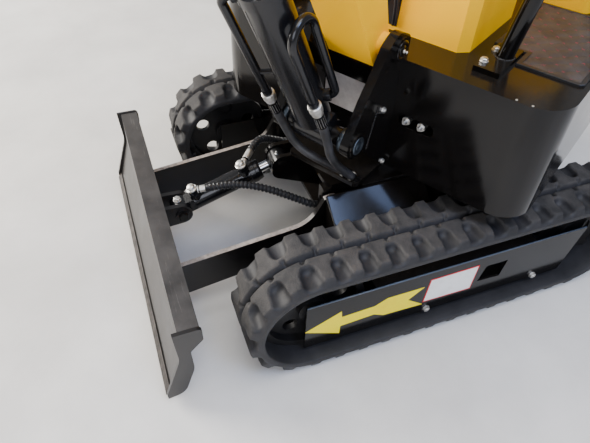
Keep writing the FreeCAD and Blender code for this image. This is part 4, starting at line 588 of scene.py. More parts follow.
def tread_height(travel, across):
    """Height of the tread over the belt, for a travel and a distance outward of the belt's middle"""
    shift = 0.5 if across > 0 else 0.0
    side = abs(across)
    from_land = ((travel / LINK_PITCH - shift + 0.5) % 1.0 - 0.5) * LINK_PITCH
    from_scoop = LINK_PITCH / 2 - abs(from_land)
    radius = SCOOP_RADIUS + SCOOP_FLARE * max(0.0, side - SCOOP_END) / 40.0
    share = math.hypot(from_scoop, max(0.0, SCOOP_END - side)) / radius
    height = LUG_HEIGHT * (1.0 - 0.9 * math.sqrt(max(0.0, 1.0 - share ** 2.4)))
    notch = (1 - ease((from_scoop - 3.0) / 4.0)) * (1 - ease((side - 15.0) / 5.0))
    height *= 1 - 0.55 * notch
    height *= ease((side - 2.5) / 6.0) * ease((89.0 - side) / 9.0)
    return height


def track_mesh(name, side):
    """One belt with its tread; side is 1 for the left track and -1 for the right"""
    edge = ((89.5, -2.0), (90.0, -5.0), (90.0, -13.5), (89.0, -17.0), (86.0, -18.0))
    spread = [n * 3.7 for n in range(24)] + [87.5]
    section = [(across, None) for across in [-t for t in reversed(spread[1:])] + spread]
    section += edge
    section += [(across, -18.0) for across in (60.0, 30.0, 0.0, -30.0, -60.0)]
    section += [(-across, height) for across, height in reversed(edge)]
    rings, raised = [], []
    for row in range(LINK_COUNT * SAMPLES_PER_LINK):
        travel = row * LINK_PITCH / SAMPLES_PER_LINK
        ring = []
        for across, under in section:
            height = tread_height(travel, across) if under is None else under
            u, z = on_track(travel, WHEEL_RADIUS + BELT_THICKNESS + height)
            ring.append(on_base(u, side * (TRACK_CENTRE + across), z))
            raised.append(max(0.0, height) / LUG_HEIGHT)
        rings.append(ring)
    mesh = ring_mesh(name, rings, looped=True, smooth=True)
    mesh.attributes.new("raised", "FLOAT", "POINT").data.foreach_set("value", raised)
    return mesh


# Moulded rubber is smooth in its hollows, which are darkened almost to black as painted shade; its lands are
# knurled, matt and greyer from dust
rubber, tree, place = new_finish("moulded_track_rubber")
at = {"Vector": place}
land = add(tree, "ShaderNodeAttribute", {"attribute_name": "raised"})
grime = add(tree, "ShaderNodeTexNoise", {"Scale": 16.0, "Detail": 8.0, "Roughness": 0.7}, at)
dusty = two_tones(tree, (grime, 0), "#1f1e1f", "#403d3b", 0.36, 0.66)
shaded_hollow_tone = two_tones(tree, (grime, 0), "#151518", "#2a292c", 0.35, 0.75)
share = add(tree, "ShaderNodeMapRange", {1: 0.6, 2: 0.99}, {0: (land, "Fac")})
tone = add(tree, "ShaderNodeMix", {"data_type": "RGBA"}, {0: (share, 0), 6: shaded_hollow_tone, 7: dusty})
grain = add(tree, "ShaderNodeTexNoise", {"Scale": 240.0, "Detail": 4.0, "Roughness": 0.65}, at)
knurl = add(tree, "ShaderNodeTexVoronoi", {"Scale": 300.0}, at)
knurled = add(tree, "ShaderNodeMath", {"operation": "MULTIPLY_ADD"}, {0: (knurl, 0), 1: (share, 0), 2: (grain, 0)})
bump = add(tree, "ShaderNodeBump", {"Strength": 0.5, "Distance": 0.0015}, {"Height": (knurled, 0)})
gloss = add(tree, "ShaderNodeMapRange", {3: 0.62, 4: 0.8}, {0: (share, 0)})
shader = add(tree, "ShaderNodeBsdfPrincipled",
             wires={"Base Color": (tone, 2), "Roughness": (gloss, 0), "Normal": (bump, 0)})
add(tree, "ShaderNodeOutputMaterial", wires={"Surface": (shader, 0)})
for name, side in (("track_left", 1), ("track_right", -1)):
    tread = new_piece("tread_" + name, track_mesh("tread_" + name, side), rubber)
    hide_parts(name)
    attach(tread, "undercarriage")
guide_lug = turned_mesh("guide_lug", [(9.0, -2.0), (8.0, 6.0), (5.5, 12.0)], 6)
guides = []
for link in range(LINK_COUNT):
    u, z = on_track(link * LINK_PITCH, WHEEL_RADIUS)
    inner_u, inner_z = on_track(link * LINK_PITCH, WHEEL_RADIUS - 10.0)
    inward = Vector((0.0, -(inner_u - u), inner_z - z)).normalized()
    for side in (1, -1):
        guides.append((on_base(u, side * (TRACK_CENTRE - 47.0), z), inward, 1.0))
scattered("guide_lugs", guides, guide_lug, rubber, "undercarriage")


# Wheels of the tracks: cast iron idlers, sprockets, rollers and steel travel motors, brushed with black primer.
# Castings keep their sand grain, and dust sits in it.
cast_iron = clouded("primed_cast_iron", (11.0, 6.0, 0.7), ("#0e0d0e", "#211f1e", 0.4, 0.72), {"Roughness": 0.5},
                    relief=("Noise", (180.0, 6.0, 0.7), 0.5, 0.001))
for name in ("idlers", "sprockets", "track_rollers", "travel_motors"):
    coat_node(name, cast_iron)
# A dark disc, shaped as a pressed plug, fills the uppermost lightening hole of each idler: painted shade for the
# dark seen through that hole
hole_shade_disc = turned_mesh("hole_shade_disc", [(21.0, -8.0), (21.0, -1.0), (24.0, 0.0), (24.0, 1.5), (18.0, 2.5), (4.0, 1.0)], 28)
HOLE_CIRCLE = 86.0
upper_hole = math.radians(360.0 / 5 + 20.0)
hole_u = WHEELBASE / 2 + HOLE_CIRCLE * math.cos(upper_hole)
hole_z = WHEEL_HEIGHT + HOLE_CIRCLE * math.sin(upper_hole)
hole_shade_discs = [(on_base(hole_u, side * (TRACK_CENTRE + 8.0 * face), hole_z), Vector((side * face, 0.0, 0.0)), 1.0)
         for side in (1, -1) for face in (1, -1)]
scattered("idler_plugs", hole_shade_discs, hole_shade_disc, cast_iron, "undercarriage", True)
# The side plates' upper edges are folded. The fold's bluish grey enamel is a painted highlight for the cool line
# of light that the fold catches
fold_highlight_enamel = enamel("painted_highlight_fold_enamel", "#3b4656", "#55616f", "#8b8f94", 0.22, 0.1)
folds = []
for side in (1, -1):
    edge = [on_base(u, side * 463.2, 236.2) for u in (447.0, 150.0, -150.0, -428.0)]
    folds.append(tube_mesh("fold", edge, 2.4 * MM, 12))
fold = new_piece("side_plate_folds", joined("side_plate_folds", folds), fold_highlight_enamel)
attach(fold, "undercarriage")


# Decals on the track frames: an arrow that points to the front, cut from yellow vinyl, and a white blank plate with
# a red border. Both are screen printed film 0.4 mm thick, stuck to the side plate.
PLATE_FACE = 465.1
FILM = 0.4


def flat_film(name, corners, side, stand):
    """A film on a side plate, from (forward, height) corners in millimetres, standing a little off it"""
    return ring_mesh(name, [[on_base(u, side * (PLATE_FACE + off), z) for u, z in corners] for off in (0.0, stand)])


def vinyl(name, colour, worn):
    """Cast vinyl film: even, bright, half gloss, a little grimy"""
    return clouded(name, (25.0, 7.0, 0.7), (colour, worn, 0.5, 0.85), {"Specular IOR Level": 0.2}, (0.3, 0.5))


yellow_vinyl = vinyl("yellow_vinyl_film", "#ffe900", "#fbdc00")
white_vinyl = vinyl("white_vinyl_film", "#f4f3f1", "#dddbd6")
red_vinyl = vinyl("red_vinyl_film", "#d4141f", "#b01822")
ARROW = ((449, 135), (349, 184), (346, 157), (250, 161), (214, 181), (101, 180), (145, 141), (91, 98), (216, 104),
         (247, 122), (347, 116), (347, 82))
LABEL = ((88, 206), (-68, 207), (-66, 103), (93, 107))


def inset(corners, share):
    """The corners drawn toward their middle"""
    middle_u = sum(c[0] for c in corners) / len(corners)
    middle_z = sum(c[1] for c in corners) / len(corners)
    return [(u + (middle_u - u) * share[0], z + (middle_z - z) * share[1]) for u, z in corners]


for side, hand in ((1, "left"), (-1, "right")):
    for kind, corners, stand, finish in (
            ("arrow_", ARROW, FILM, yellow_vinyl), ("label_border_", LABEL, FILM, red_vinyl),
            ("label_field_", inset(LABEL, (0.045, 0.08)), 2 * FILM, white_vinyl)):
        film = new_piece(kind + hand, flat_film(kind + hand, corners, side, stand), finish)
        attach(film, "undercarriage")


# Blade: mouldboard, flange and end plates of welded steel, sprayed satin black and rubbed to grey where soil and
# forks touch it. The wear runs along the blade in long fine scratches.
worn_satin, tree, place = new_finish("scuffed_satin_enamel")
mapped = add(tree, "ShaderNodeMapping", {"Scale": (1.0, 26.0, 26.0)}, {"Vector": place})
lines = add(tree, "ShaderNodeTexNoise", {"Scale": 9.0, "Detail": 8.0, "Roughness": 0.75}, {"Vector": (mapped, 0)})
cloud = add(tree, "ShaderNodeTexNoise", {"Scale": 7.0, "Detail": 7.0, "Roughness": 0.65}, {"Vector": place})
base_tone = two_tones(tree, (cloud, 0), "#2f2d2c", "#4b4846", 0.35, 0.68)
line_mask = add(tree, "ShaderNodeMapRange", {1: 0.6, 2: 0.72, 3: 0.0, 4: 0.6}, {0: (lines, 0)})
worn = add(tree, "ShaderNodeMix", {"data_type": "RGBA", 7: linear("#a09c96")}, {0: (line_mask, 0), 6: base_tone})
# On the end plates and on the back between the cylinder's lugs the tone is made black, and the face below the
# flange is darkened about two fifths of the way to black as painted shade
MULTIPLY, MAXIMUM = {"operation": "MULTIPLY"}, {"operation": "MAXIMUM"}
spot = add(tree, "ShaderNodeSeparateXYZ", wires={0: place})
off_axis = add(tree, "ShaderNodeMath", {"operation": "SUBTRACT", 1: SLEW_AXIS.x}, {0: (spot, "X")})
aside = add(tree, "ShaderNodeMath", {"operation": "ABSOLUTE"}, {0: (off_axis, 0)})
at_end = add(tree, "ShaderNodeMapRange", {1: 0.4535, 2: 0.4545}, {0: (aside, 0)})
near_lug = add(tree, "ShaderNodeMapRange", {1: 0.05, 2: 0.049}, {0: (aside, 0)})
behind_face = add(tree, "ShaderNodeMapRange", {1: -0.4405, 2: -0.4395}, {0: (spot, "Y")})
below_flange = add(tree, "ShaderNodeMapRange", {1: 0.2715, 2: 0.2705}, {0: (spot, "Z")})
at_lug = add(tree, "ShaderNodeMath", MULTIPLY, {0: (near_lug, 0), 1: (behind_face, 0)})
at_lug_low = add(tree, "ShaderNodeMath", MULTIPLY, {0: (at_lug, 0), 1: (below_flange, 0)})
black_at_ends_and_lugs = add(tree, "ShaderNodeMath", MAXIMUM, {0: (at_end, 0), 1: (at_lug_low, 0)})
face_shade = add(tree, "ShaderNodeMath", {**MULTIPLY, 1: 0.45}, {0: (below_flange, 0)})
black_and_face_shade = add(tree, "ShaderNodeMath", MAXIMUM, {0: (black_at_ends_and_lugs, 0), 1: (face_shade, 0)})
black_share = add(tree, "ShaderNodeMath", {**MULTIPLY, 1: 0.92}, {0: (black_and_face_shade, 0)})
tone = add(tree, "ShaderNodeMix", {"data_type": "RGBA", 7: linear("#0f0d0e")}, {0: (black_share, 0), 6: (worn, 2)})
gloss = add(tree, "ShaderNodeMapRange", {1: 0.3, 2: 0.7, 3: 0.28, 4: 0.42}, {0: (cloud, 0)})
bump = add(tree, "ShaderNodeBump", {"Strength": 0.15, "Distance": 0.0006}, {"Height": (lines, 0)})
shader = add(tree, "ShaderNodeBsdfPrincipled",
             wires={"Base Color": (tone, 2), "Roughness": (gloss, 0), "Normal": (bump, 0)})
add(tree, "ShaderNodeOutputMaterial", wires={"Surface": (shader, 0)})
coat_node("blade", worn_satin)
# The cutting edge is bare rolled steel, brown from handling, bright where it has scraped
bare_steel = clouded("rolled_bare_steel", (30.0, 8.0, 0.7), ("#2a2624", "#5b544e", 0.4, 0.7), {"Metallic": 0.6},
                     (0.5, 0.34))
coat_node("cutting_edge", bare_steel)


# Weld beads: fillets laid by hand where plates meet, sprayed over with the rest. Each is a run of small overlapping
# ripples 4 mm apart.
ripple = turned_mesh("ripple", [(3.6, -1.0), (3.4, 1.2), (2.3, 2.6), (0.8, 3.2)], 8)


def run_of_ripples(start, end, axis, step=3.6):
    """Rows for ripples from one place to another"""
    count = max(2, int((end - start).length / (step * MM)))
    return [(start.lerp(end, n / count), axis, 1.0) for n in range(count + 1)]


def ring_of_ripples(centre, radius, axis, across, other, step=3.6):
    """Rows for ripples round a post or a boss"""
    count = int(2 * math.pi * radius / step)
    rows = []
    for n in range(count):
        angle = 2 * math.pi * n / count
        outward = across * math.cos(angle) + other * math.sin(angle)
        rows.append((centre + outward * radius * MM, (axis + outward).normalized(), 1.0))
    return rows


beads = []
for side in (1, -1):
    for v, outward in ((213.0, 1), (199.0, -1)):
        aim = (Vector((side * outward, 0.7, 0.0))).normalized()
        beads += run_of_ripples(on_base(755.5, side * v, 98.0), on_base(755.5, side * v, 210.0), aim)
    for v, outward in ((22.5, -1), (36.2, 1)):
        aim = (Vector((side * outward, 0.7, 0.0))).normalized()
        beads += run_of_ripples(on_base(755.5, side * v, 200.0), on_base(755.5, side * v, 266.0), aim)
scattered("blade_welds", beads, ripple, black_enamel, "blade", True)
beads = []
for side in (1, -1):
    outward = ASIDE * side
    beads += run_of_ripples(on_upper(310.0, side * 110.0, 640.0), on_upper(338.0, side * 110.0, 541.0), outward, 7.0)
    beads += ring_of_ripples(on_upper(84.0, side * 290.0, 742.0), 21.0, UPWARD, AHEAD, ASIDE)
scattered("upper_welds", beads, ripple, black_enamel, "upper", True)
beads = []
for side in (1, -1):
    for v, outward in ((22.0, -1), (36.0, 1)):
        aim = Vector((side * outward, -0.7, 0.0)).normalized()
        beads += run_of_ripples(on_base(235.5, side * v, 232.0), on_base(235.5, side * v, 358.0), aim)
    aim = Vector((side * 0.5, -0.6, 0.6)).normalized()
    beads += run_of_ripples(on_base(300.5, side * 219.0, 355.0), on_base(300.5, side * 352.0, 266.0), aim)
scattered("body_welds", beads, ripple, black_enamel, "undercarriage", True)


# Cylinder barrels, with their pipes: honed tube sprayed satin black over a smooth skin, so they mirror softly.
barrel_satin = enamel("satin_black_enamel", "#0a0a0c", "#151518", "#5d5a57", 0.2, 0.05, 0.42)
for name in ("blade_cylinder_barrel", "boom_cylinder_barrel", "arm_cylinder_barrel", "bucket_cylinder_barrel"):
    coat_node(name, barrel_satin)


# Hose ends: zinc plated hexagons and swaged ferrules at the boom cylinder's pipes, and at the blade cylinder's ports
# domed banjo bolts with black rings and swaged ferrules.
def turned_along(name, foot, tip, profile, sides):
    """A turned form from foot to tip; profile is (radius in mm, share of the way)"""
    length = (tip - foot).length / MM
    mesh = turned_mesh(name, [(radius, share * length) for radius, share in profile], sides)
    facing = (tip - foot).to_track_quat("Z", "Y").to_matrix().to_4x4()
    mesh.transform(Matrix.Translation(foot) @ facing)
    return mesh


CRIMP = [(10.6, 0.0), (12.7, 0.03), (12.7, 0.18), (11.3, 0.2), (11.3, 0.3), (12.5, 0.32), (12.5, 0.93), (11.9, 1.0)]
NUT = [(13.6, 0.0), (15.2, 0.06), (15.2, 0.94), (13.6, 1.0)]
DOME = [(11.6, 0.0), (12.0, 0.2), (12.0, 0.55), (10.6, 0.75), (7.5, 0.92), (2.0, 1.0)]
RING = [(15.4, 0.0), (15.8, 0.15), (15.8, 0.85), (14.4, 1.0)]
LOCK_NUT = [(17.0, 0.0), (18.0, 0.1), (18.0, 0.9), (17.0, 1.0)]
GLAND = [(31.5, 0.0), (33.5, 0.06), (33.5, 0.5), (31.5, 0.56), (31.5, 0.8), (28.5, 1.0)]
SMALL_CRIMP = [(radius * 0.84, share) for radius, share in CRIMP]
parts = []
for start, end, lateral, front in ((158.0, 79.0, -70.0, 39.0), (185.0, 95.0, 60.0, 32.0)):
    run = end - start
    stations = (start + run * 0.15, start + run * 0.385, end + 0.6)
    nut_start, nut_end, ferrule_end = [beside_boom_cylinder(along, lateral, front) for along in stations]
    parts.append(turned_along("nut", nut_start, nut_end, NUT, 12))
    parts.append(turned_along("ferrule", nut_end, ferrule_end, CRIMP, 28))
couplings = new_piece("boom_hose_couplings", joined("boom_hose_couplings", parts), zinc)
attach(couplings, "boom_barrel")


def on_port(name, along, low, high, profile, sides):
    """A turned form on a port of the blade cylinder, between two heights over the barrel's axis"""
    foot, tip = above_blade_cylinder(along, 18.0, low), above_blade_cylinder(along, 18.0, high)
    return turned_along(name, foot, tip, profile, sides)


# Below each dome are a zinc ring, the black eye of the hose end, and a black lock nut on the boss
parts, zinc_parts, black_parts = [], [], []
for along, aim, reach in ((58.0, front_aim, FERRULE_FRONT), (212.0, rear_aim, FERRULE_REAR)):
    eye = above_blade_cylinder(along, 18.0, 52.0)
    parts.append(on_port("dome", along, 60.6, 72.5, DOME, 28))
    parts.append(turned_along("ferrule", eye + aim * 14.0 * MM, eye + aim * (reach - 0.3) * MM, SMALL_CRIMP, 28))
    zinc_parts.append(on_port("ring", along, 56.0, 61.5, RING, 32))
    black_parts.append(on_port("nut", along, 27.0, 41.0, LOCK_NUT, 6))
port_parts = new_piece("blade_port_fittings", joined("blade_port_fittings", parts), zinc)
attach(port_parts, "blade_barrel")
gland_ends = above_blade_cylinder(224.0, 0.0, 0.0), above_blade_cylinder(259.0, 0.0, 0.0)
black_parts.append(turned_along("gland", *gland_ends, GLAND, 40))
for name, meshes, finish, slot in (
        ("port_rings", zinc_parts, zinc, "zinc"), ("port_nuts_and_gland", black_parts, barrel_satin, "black_paint")):
    made = new_piece(name, joined(name, meshes), finish)
    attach(made, "blade_barrel")


# Boom, arm, console, hood and roof in yellow enamel. They are welded or pressed sheet, stoved to a bright clean
# gloss, warmer and darker where they face down.
yellow_enamel = enamel("yellow_gloss_enamel", "#ffc400", "#ffb900", "#c9a04a", 0.22, 0.02, 0.12)
for name in ("boom", "arm", "console", "engine_hood", "canopy_roof"):
    coat_node(name, yellow_enamel)


# Bucket, rocker and link: welded wear plate, black enamel rubbed thin, brown and bright where it digs.
digging_plate = enamel("rubbed_black_enamel", "#191817", "#3a3531", "#7a6f60", 0.4, 0.3)
for name in ("bucket", "rocker", "bucket_link"):
    coat_node(name, digging_plate)


# Piston rods: ground steel with hard chrome, polished round their axis, so they mirror in fine bright lines.
# Their welded eyes are sprayed black.
def chrome_rod(name, eye, reach):
    """Hard chrome that turns to black enamel within a distance of the rod's eye"""
    material, tree, place = new_finish(name)
    fine = add(tree, "ShaderNodeTexNoise", {"Scale": 400.0, "Detail": 2.0}, {"Vector": place})
    away = add(tree, "ShaderNodeVectorMath", {"operation": "DISTANCE", 1: eye}, {0: place})
    bare = add(tree, "ShaderNodeMapRange", {1: reach, 2: reach + 0.0008}, {0: (away, "Value")})
    gloss = add(tree, "ShaderNodeMapRange", {3: 0.06, 4: 0.18}, {0: (fine, 0)})
    chrome = {"Base Color": linear("#c9ccd0"), "Metallic": 1.0}
    polished = add(tree, "ShaderNodeBsdfPrincipled", chrome, {"Roughness": (gloss, 0)})
    sprayed = add(tree, "ShaderNodeBsdfPrincipled", {"Base Color": linear("#0d0d0e"), "Roughness": 0.3})
    shader = add(tree, "ShaderNodeMixShader", wires={0: (bare, 0), 1: (sprayed, 0), 2: (polished, 0)})
    add(tree, "ShaderNodeOutputMaterial", wires={"Surface": (shader, 0)})
    return material


ROD_EYES = (
    # node, place of its eye's pin, how far the paint reaches from there
    ("boom_cylinder_rod", on_upper(727.2, 0.0, 1242.8), 0.061),
    ("arm_cylinder_rod", on_upper(1181.2, 0.0, 1616.0), 0.038),
    ("bucket_cylinder_rod", on_upper(1467.8, 0.0, 1067.2), 0.037),
    ("blade_cylinder_rod", on_base(362.0, 0.0, 336.0), 0.037),
)
for name, eye, reach in ROD_EYES:
    coat_node(name, chrome_rod("hard_chrome_of_" + name, eye, reach))


# Floor mat: two sheets of vinyl quilted in diamonds over felt, tacked with red thread where the seams cross, inside a
# raised moulded border. It lies loose on the deck beside the console.
REAR, FRONT, INNER, OUTER = -290.0, 83.0, 240.0, 470.0
NOTCH_U, NOTCH_V = 20.0, 318.0
MAT_OUTLINE = ((FRONT, NOTCH_V), (FRONT, 461.0), (74.0, OUTER), (REAR, OUTER), (REAR, INNER), (NOTCH_U, INNER),
               (NOTCH_U, NOTCH_V))
MAT_FIELD = ((72.0, 329.0), (72.0, 456.5), (69.5, 459.0), (-279.0, 459.0), (-279.0, 251.0), (9.0, 251.0), (9.0, 329.0))
DECK = 730.0
DIAMOND = 46.0
BORDER = 11.0


def inside(u, v, margin):
    """Whether a place lies on the mat, at least the margin from its edge"""
    if not (REAR + margin <= u <= FRONT - margin and INNER + margin <= v <= OUTER - margin):
        return False
    if u > NOTCH_U - margin and v < NOTCH_V + margin:
        return False
    return u + v < FRONT + 461.0 - margin * 1.41


def quilt_height(u, v):
    """Height of the quilted field: it puffs between the two sets of seams"""
    a = ((u + v) / DIAMOND) % 1.0
    b = ((u - v) / DIAMOND) % 1.0
    puff = (math.sin(math.pi * a) * math.sin(math.pi * b)) ** 0.5
    return 3.0 + 2.2 * puff


worked = bmesh.new()
STEP = 3.5
rows, columns = int((FRONT - REAR) / STEP) + 1, int((OUTER - INNER) / STEP) + 1
grid = {}
for i in range(rows + 1):
    for j in range(columns + 1):
        u, v = REAR + i * STEP, INNER + j * STEP
        if inside(u, v, BORDER - 3.0):
            grid[i, j] = worked.verts.new(on_upper(u, v, DECK + quilt_height(u, v)))
for i in range(rows):
    for j in range(columns):
        corners = [grid.get(key) for key in ((i, j), (i + 1, j), (i + 1, j + 1), (i, j + 1))]
        if all(corners):
            worked.faces.new(corners)
edges = [e for e in worked.edges if len(e.link_faces) == 1]
lowered = bmesh.ops.extrude_edge_only(worked, edges=edges)
foot_verts = [item for item in lowered["geom"] if isinstance(item, bmesh.types.BMVert)]
for vert in foot_verts:
    vert.co.z = (DECK + 0.3) * MM
bmesh.ops.holes_fill(worked, edges=[e for e in worked.edges if len(e.link_faces) == 1], sides=0)
bmesh.ops.recalc_face_normals(worked, faces=worked.faces)
field_mesh = bpy.data.meshes.new("mat_field")
worked.to_mesh(field_mesh)
worked.free()
field_mesh.polygons.foreach_set("use_smooth", [True] * len(field_mesh.polygons))
quilted_vinyl = clouded("quilted_vinyl", (20.0, 6.0), ("#312d2c", "#474241", 0.35, 0.7), {"Roughness": 0.48},
                        relief=("Voronoi", (620.0,), 0.4, 0.0006))
field = new_piece("mat_field", field_mesh, quilted_vinyl)
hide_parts("floor_mat")
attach(field, "upper")

levels = ((MAT_OUTLINE, 0.0), (MAT_OUTLINE, 4.4), (inset(MAT_OUTLINE, (0.008, 0.011)), 5.9),
          (inset(MAT_FIELD, (-0.008, -0.011)), 5.9), (MAT_FIELD, 4.4), (MAT_FIELD, 0.0))
border_mesh = ring_mesh(
    "mat_border", [[on_upper(u, v, DECK + height) for u, v in corners] for corners, height in levels], looped=True)
# Moulded black plastic with a fine grain, half matt
black_plastic = clouded("moulded_black_plastic", (12.0, 5.0), ("#151516", "#29292b", 0.35, 0.7), {"Roughness": 0.42},
                        relief=("Noise", (500.0, 3.0), 0.25, 0.0005))
border = new_piece("mat_border", border_mesh, black_plastic)
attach(border, "upper")

red_thread = clouded("red_polyester_thread", (900.0, 1.0), ("#6f1b22", "#97282f", 0.35, 0.65),
                     {"Roughness": 0.6, "Sheen Weight": 0.3})
stitch = turned_mesh("stitch", [(0.35, -2.4), (0.8, -1.6), (0.9, 0.0), (0.8, 1.6), (0.35, 2.4)], 5)
stitches = []
STITCH_PITCH = 7.0
CROSSING = 8.0
for sense in (1, -1):
    along = (AHEAD - ASIDE * sense).normalized()
    for n in range(-20, 30):
        for k in range(-80, 120):
            total, difference = n * DIAMOND, k * STITCH_PITCH
            u, v = (total + difference) / 2, sense * (total - difference) / 2
            from_crossing = abs((difference / DIAMOND + 0.5) % 1.0 - 0.5) * DIAMOND
            if inside(u, v, BORDER + 1.5) and from_crossing < CROSSING:
                stitches.append((on_upper(u, v, DECK + 3.4), along, 0.9))
scattered("mat_stitches", stitches, stitch, red_thread, "upper")


# Seat: a cushion and a backrest of black vinyl, sewn in channels over foam, with piping round the seam.
def crowned_pad(name, low, high, channels, groove, lean=0.0):
    """A closed pad in a box of (forward, left, up) corners, flat below, its face sewn in channels across it"""
    middle = [(a + b) / 2 for a, b in zip(low, high)]
    half = [(b - a) / 2 for a, b in zip(low, high)]
    rings, sides = 40, 96
    points = []

    def power(value, exponent):
        return math.copysign(abs(value) ** exponent, value)

    for r in range(1, rings):
        latitude = -math.pi / 2 + math.pi * r / rings
        for n in range(sides):
            longitude = 2 * math.pi * n / sides
            u = power(math.cos(latitude), 0.42) * power(math.cos(longitude), 0.38)
            v = power(math.cos(latitude), 0.42) * power(math.sin(longitude), 0.38)
            w = power(math.sin(latitude), 0.62)
            if w > 0.0:
                # The face swells in its middle and dips along its sewn channels
                swell = (1 - u * u) * (1 - v * v)
                dip = max(math.exp(-((v - place) * half[1] / groove) ** 2) for place in channels)
                w = w * (0.80 + 0.20 * swell) - 0.16 * dip * (1 - u * u) * w
            height = middle[2] + w * half[2]
            points.append(on_upper(middle[0] + u * half[0] - lean * (height - low[2]), middle[1] + v * half[1], height))
    faces = ring_faces(rings - 1, sides)
    bottom, top = len(points), len(points) + 1
    points.append(on_upper(middle[0], middle[1], low[2]))
    top_height = middle[2] + half[2] * (0.84 if 0.0 in channels else 1.0)
    points.append(on_upper(middle[0] - lean * (top_height - low[2]), middle[1], top_height))
    for n in range(sides):
        m = (n + 1) % sides
        faces.append((bottom, m, n))
        faces.append((top, (rings - 2) * sides + n, (rings - 2) * sides + m))
    mesh = solid_mesh(name, points, faces)
    mesh.polygons.foreach_set("use_smooth", [True] * len(mesh.polygons))
    return mesh


seat_vinyl = clouded("sewn_black_vinyl", (9.0, 6.0), ("#161617", "#2a292a", 0.35, 0.7), None, (0.34, 0.52),
                     ("Voronoi", (520.0,), 0.35, 0.0008))
CHANNELS = (-0.58, -0.2, 0.2, 0.58)
GROOVE = 9.0
cushion_mesh = crowned_pad("seat_cushion_cover", (-650.0, -225.0, 1010.4), (-310.0, 225.0, 1100.0), CHANNELS, GROOVE)
cushion = new_piece("seat_cushion_cover", cushion_mesh, seat_vinyl)
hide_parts("seat_cushion")
back_mesh = crowned_pad("seat_back_cover", (-638.0, -212.0, 1100.4), (-574.0, 212.0, 1430.0), CHANNELS, GROOVE, 0.165)
back = new_piece("seat_back_cover", back_mesh, seat_vinyl)
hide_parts("seat_back")
for pad, fill in ((cushion, 0.7), (back, 0.7)):
    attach(pad, "upper")


# At the passage in the console's front, behind the boom's foot, a black sheet shaped as a rubber flap is painted
# shade for the dark gap; two cables come out there and run down.
SHADE_SHEET_BACK, SHADE_SHEET_THICKNESS = 120.2, 2.4
SHADE_SHEET_EDGE = ((-30.0, 742.0), (27.0, 742.0), (30.0, 805.0), (31.0, 905.0), (-31.0, 905.0), (-30.0, 805.0))
shade_sheet_mesh = ring_mesh("console_flap", [
    [on_upper(SHADE_SHEET_BACK, v, z) for v, z in SHADE_SHEET_EDGE],
    [on_upper(SHADE_SHEET_BACK + SHADE_SHEET_THICKNESS, v * 0.95, z + (4.0 if z < 800 else -3.0)) for v, z in SHADE_SHEET_EDGE]])
shade_sheet = new_piece("console_flap", shade_sheet_mesh, black_plastic)
runs = []
for v, radius in ((19.0, 3.6), (25.5, 2.6)):
    route = ((126.0, v, 900.0), (129.0, v - 3.0, 840.0), (130.0, v + 2.0, 780.0), (126.0, v, 745.0))
    runs.append(tube_mesh("run", along_spline([on_upper(*spot) for spot in route]), radius * MM, 12))
runs = new_piece("console_cables", joined("console_cables", runs), black_plastic)
for made in (shade_sheet, runs):
    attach(made, "upper")


# Console levers: steel rods with moulded plastic grips and, at their feet, bellows of soft rubber clipped to the top.
coat_node("control_levers", black_plastic)
boots = []
for u, v, lean in ((40.0, -38.0, 8.0), (40.0, 38.0, 8.0), (-60.0, -150.0, -6.0), (-60.0, 150.0, -6.0)):
    profile = [(25.0, 0.0), (26.0, 3.0)]
    for fold in range(4):
        radius = 22.0 - fold * 3.6
        profile += [(radius - 4.0, 5.0 + fold * 8.0), (radius, 8.5 + fold * 8.0), (radius - 1.0, 10.0 + fold * 8.0)]
    profile += [(7.0, 40.0), (6.0, 44.0)]
    tilt = (UPWARD * math.cos(math.radians(lean)) + AHEAD * math.sin(math.radians(lean))).normalized()
    boot = turned_mesh("boot", profile, 28)
    boot.transform(Matrix.Translation(on_upper(u, v, 1059.5)) @ tilt.to_track_quat("Z", "Y").to_matrix().to_4x4())
    boots.append(boot)
boots = new_piece("lever_boots", joined("lever_boots", boots), black_plastic)
boots.data.polygons.foreach_set("use_smooth", [True] * len(boots.data.polygons))
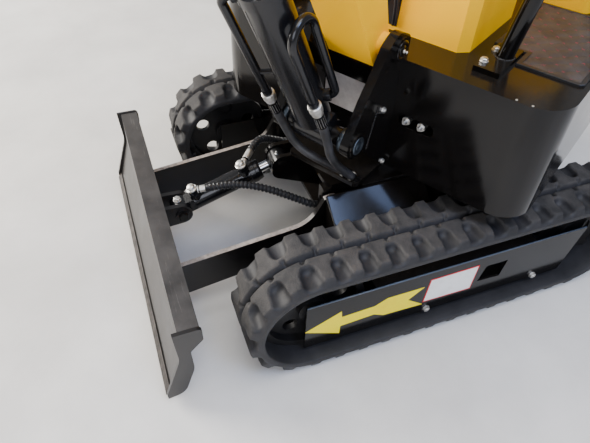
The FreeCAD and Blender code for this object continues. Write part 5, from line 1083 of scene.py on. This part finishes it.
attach(boots, "upper")


# Engine under the hood: a small upright diesel, cast aluminium crankcase and finned cylinder, on the deck. Little of
# it shows through the louvres.
def beveled_box(low, high, bevel):
    """A block between two (forward, left, up) corners with its edges broken"""
    worked = bmesh.new()
    corners = []
    for u in (low[0], high[0]):
        for v in (low[1], high[1]):
            for z in (low[2], high[2]):
                corners.append(worked.verts.new(on_upper(u, v, z)))
    for face in ((0, 1, 3, 2), (4, 6, 7, 5), (0, 4, 5, 1), (2, 3, 7, 6), (0, 2, 6, 4), (1, 5, 7, 3)):
        worked.faces.new([corners[n] for n in face])
    bmesh.ops.recalc_face_normals(worked, faces=worked.faces)
    bmesh.ops.bevel(worked, geom=worked.edges[:], offset=bevel * MM, segments=2, profile=0.5, affect="EDGES")
    mesh = bpy.data.meshes.new("block")
    worked.to_mesh(mesh)
    worked.free()
    return mesh


BLOCKS = (
    # two corners, and how far the edges are broken: crankcase, flywheel housing, silencer, cylinder head, cylinder
    ((-610.0, -130.0, 731.0), (-370.0, 60.0, 850.0), 12.0),
    ((-600.0, 70.0, 735.0), (-380.0, 195.0, 900.0), 22.0),
    ((-590.0, -195.0, 760.0), (-420.0, -135.0, 880.0), 26.0),
    ((-560.0, -90.0, 915.0), (-440.0, 30.0, 938.0), 8.0),
    ((-560.0, -90.0, 846.0), (-440.0, 30.0, 918.0), 6.0),
)
FIN_PITCH, FIN_THICKNESS = 8.0, 4.0
blocks = [beveled_box(*block) for block in BLOCKS]
for n in range(8):
    low = 853.0 + n * FIN_PITCH
    blocks.append(beveled_box((-575.0, -105.0, low), (-425.0, 45.0, low + FIN_THICKNESS), 1.5))
cast_aluminium = clouded("cast_aluminium", (150.0, 6.0, 0.7), ("#6d6c69", "#a3a29e", 0.35, 0.7),
                         {"Metallic": 0.9, "Roughness": 0.5}, relief=("Noise", (150.0, 6.0, 0.7), 0.4, 0.0008))
engine = new_piece("engine_castings", joined("engine_castings", blocks), cast_aluminium)
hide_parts("engine")
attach(engine, "upper")
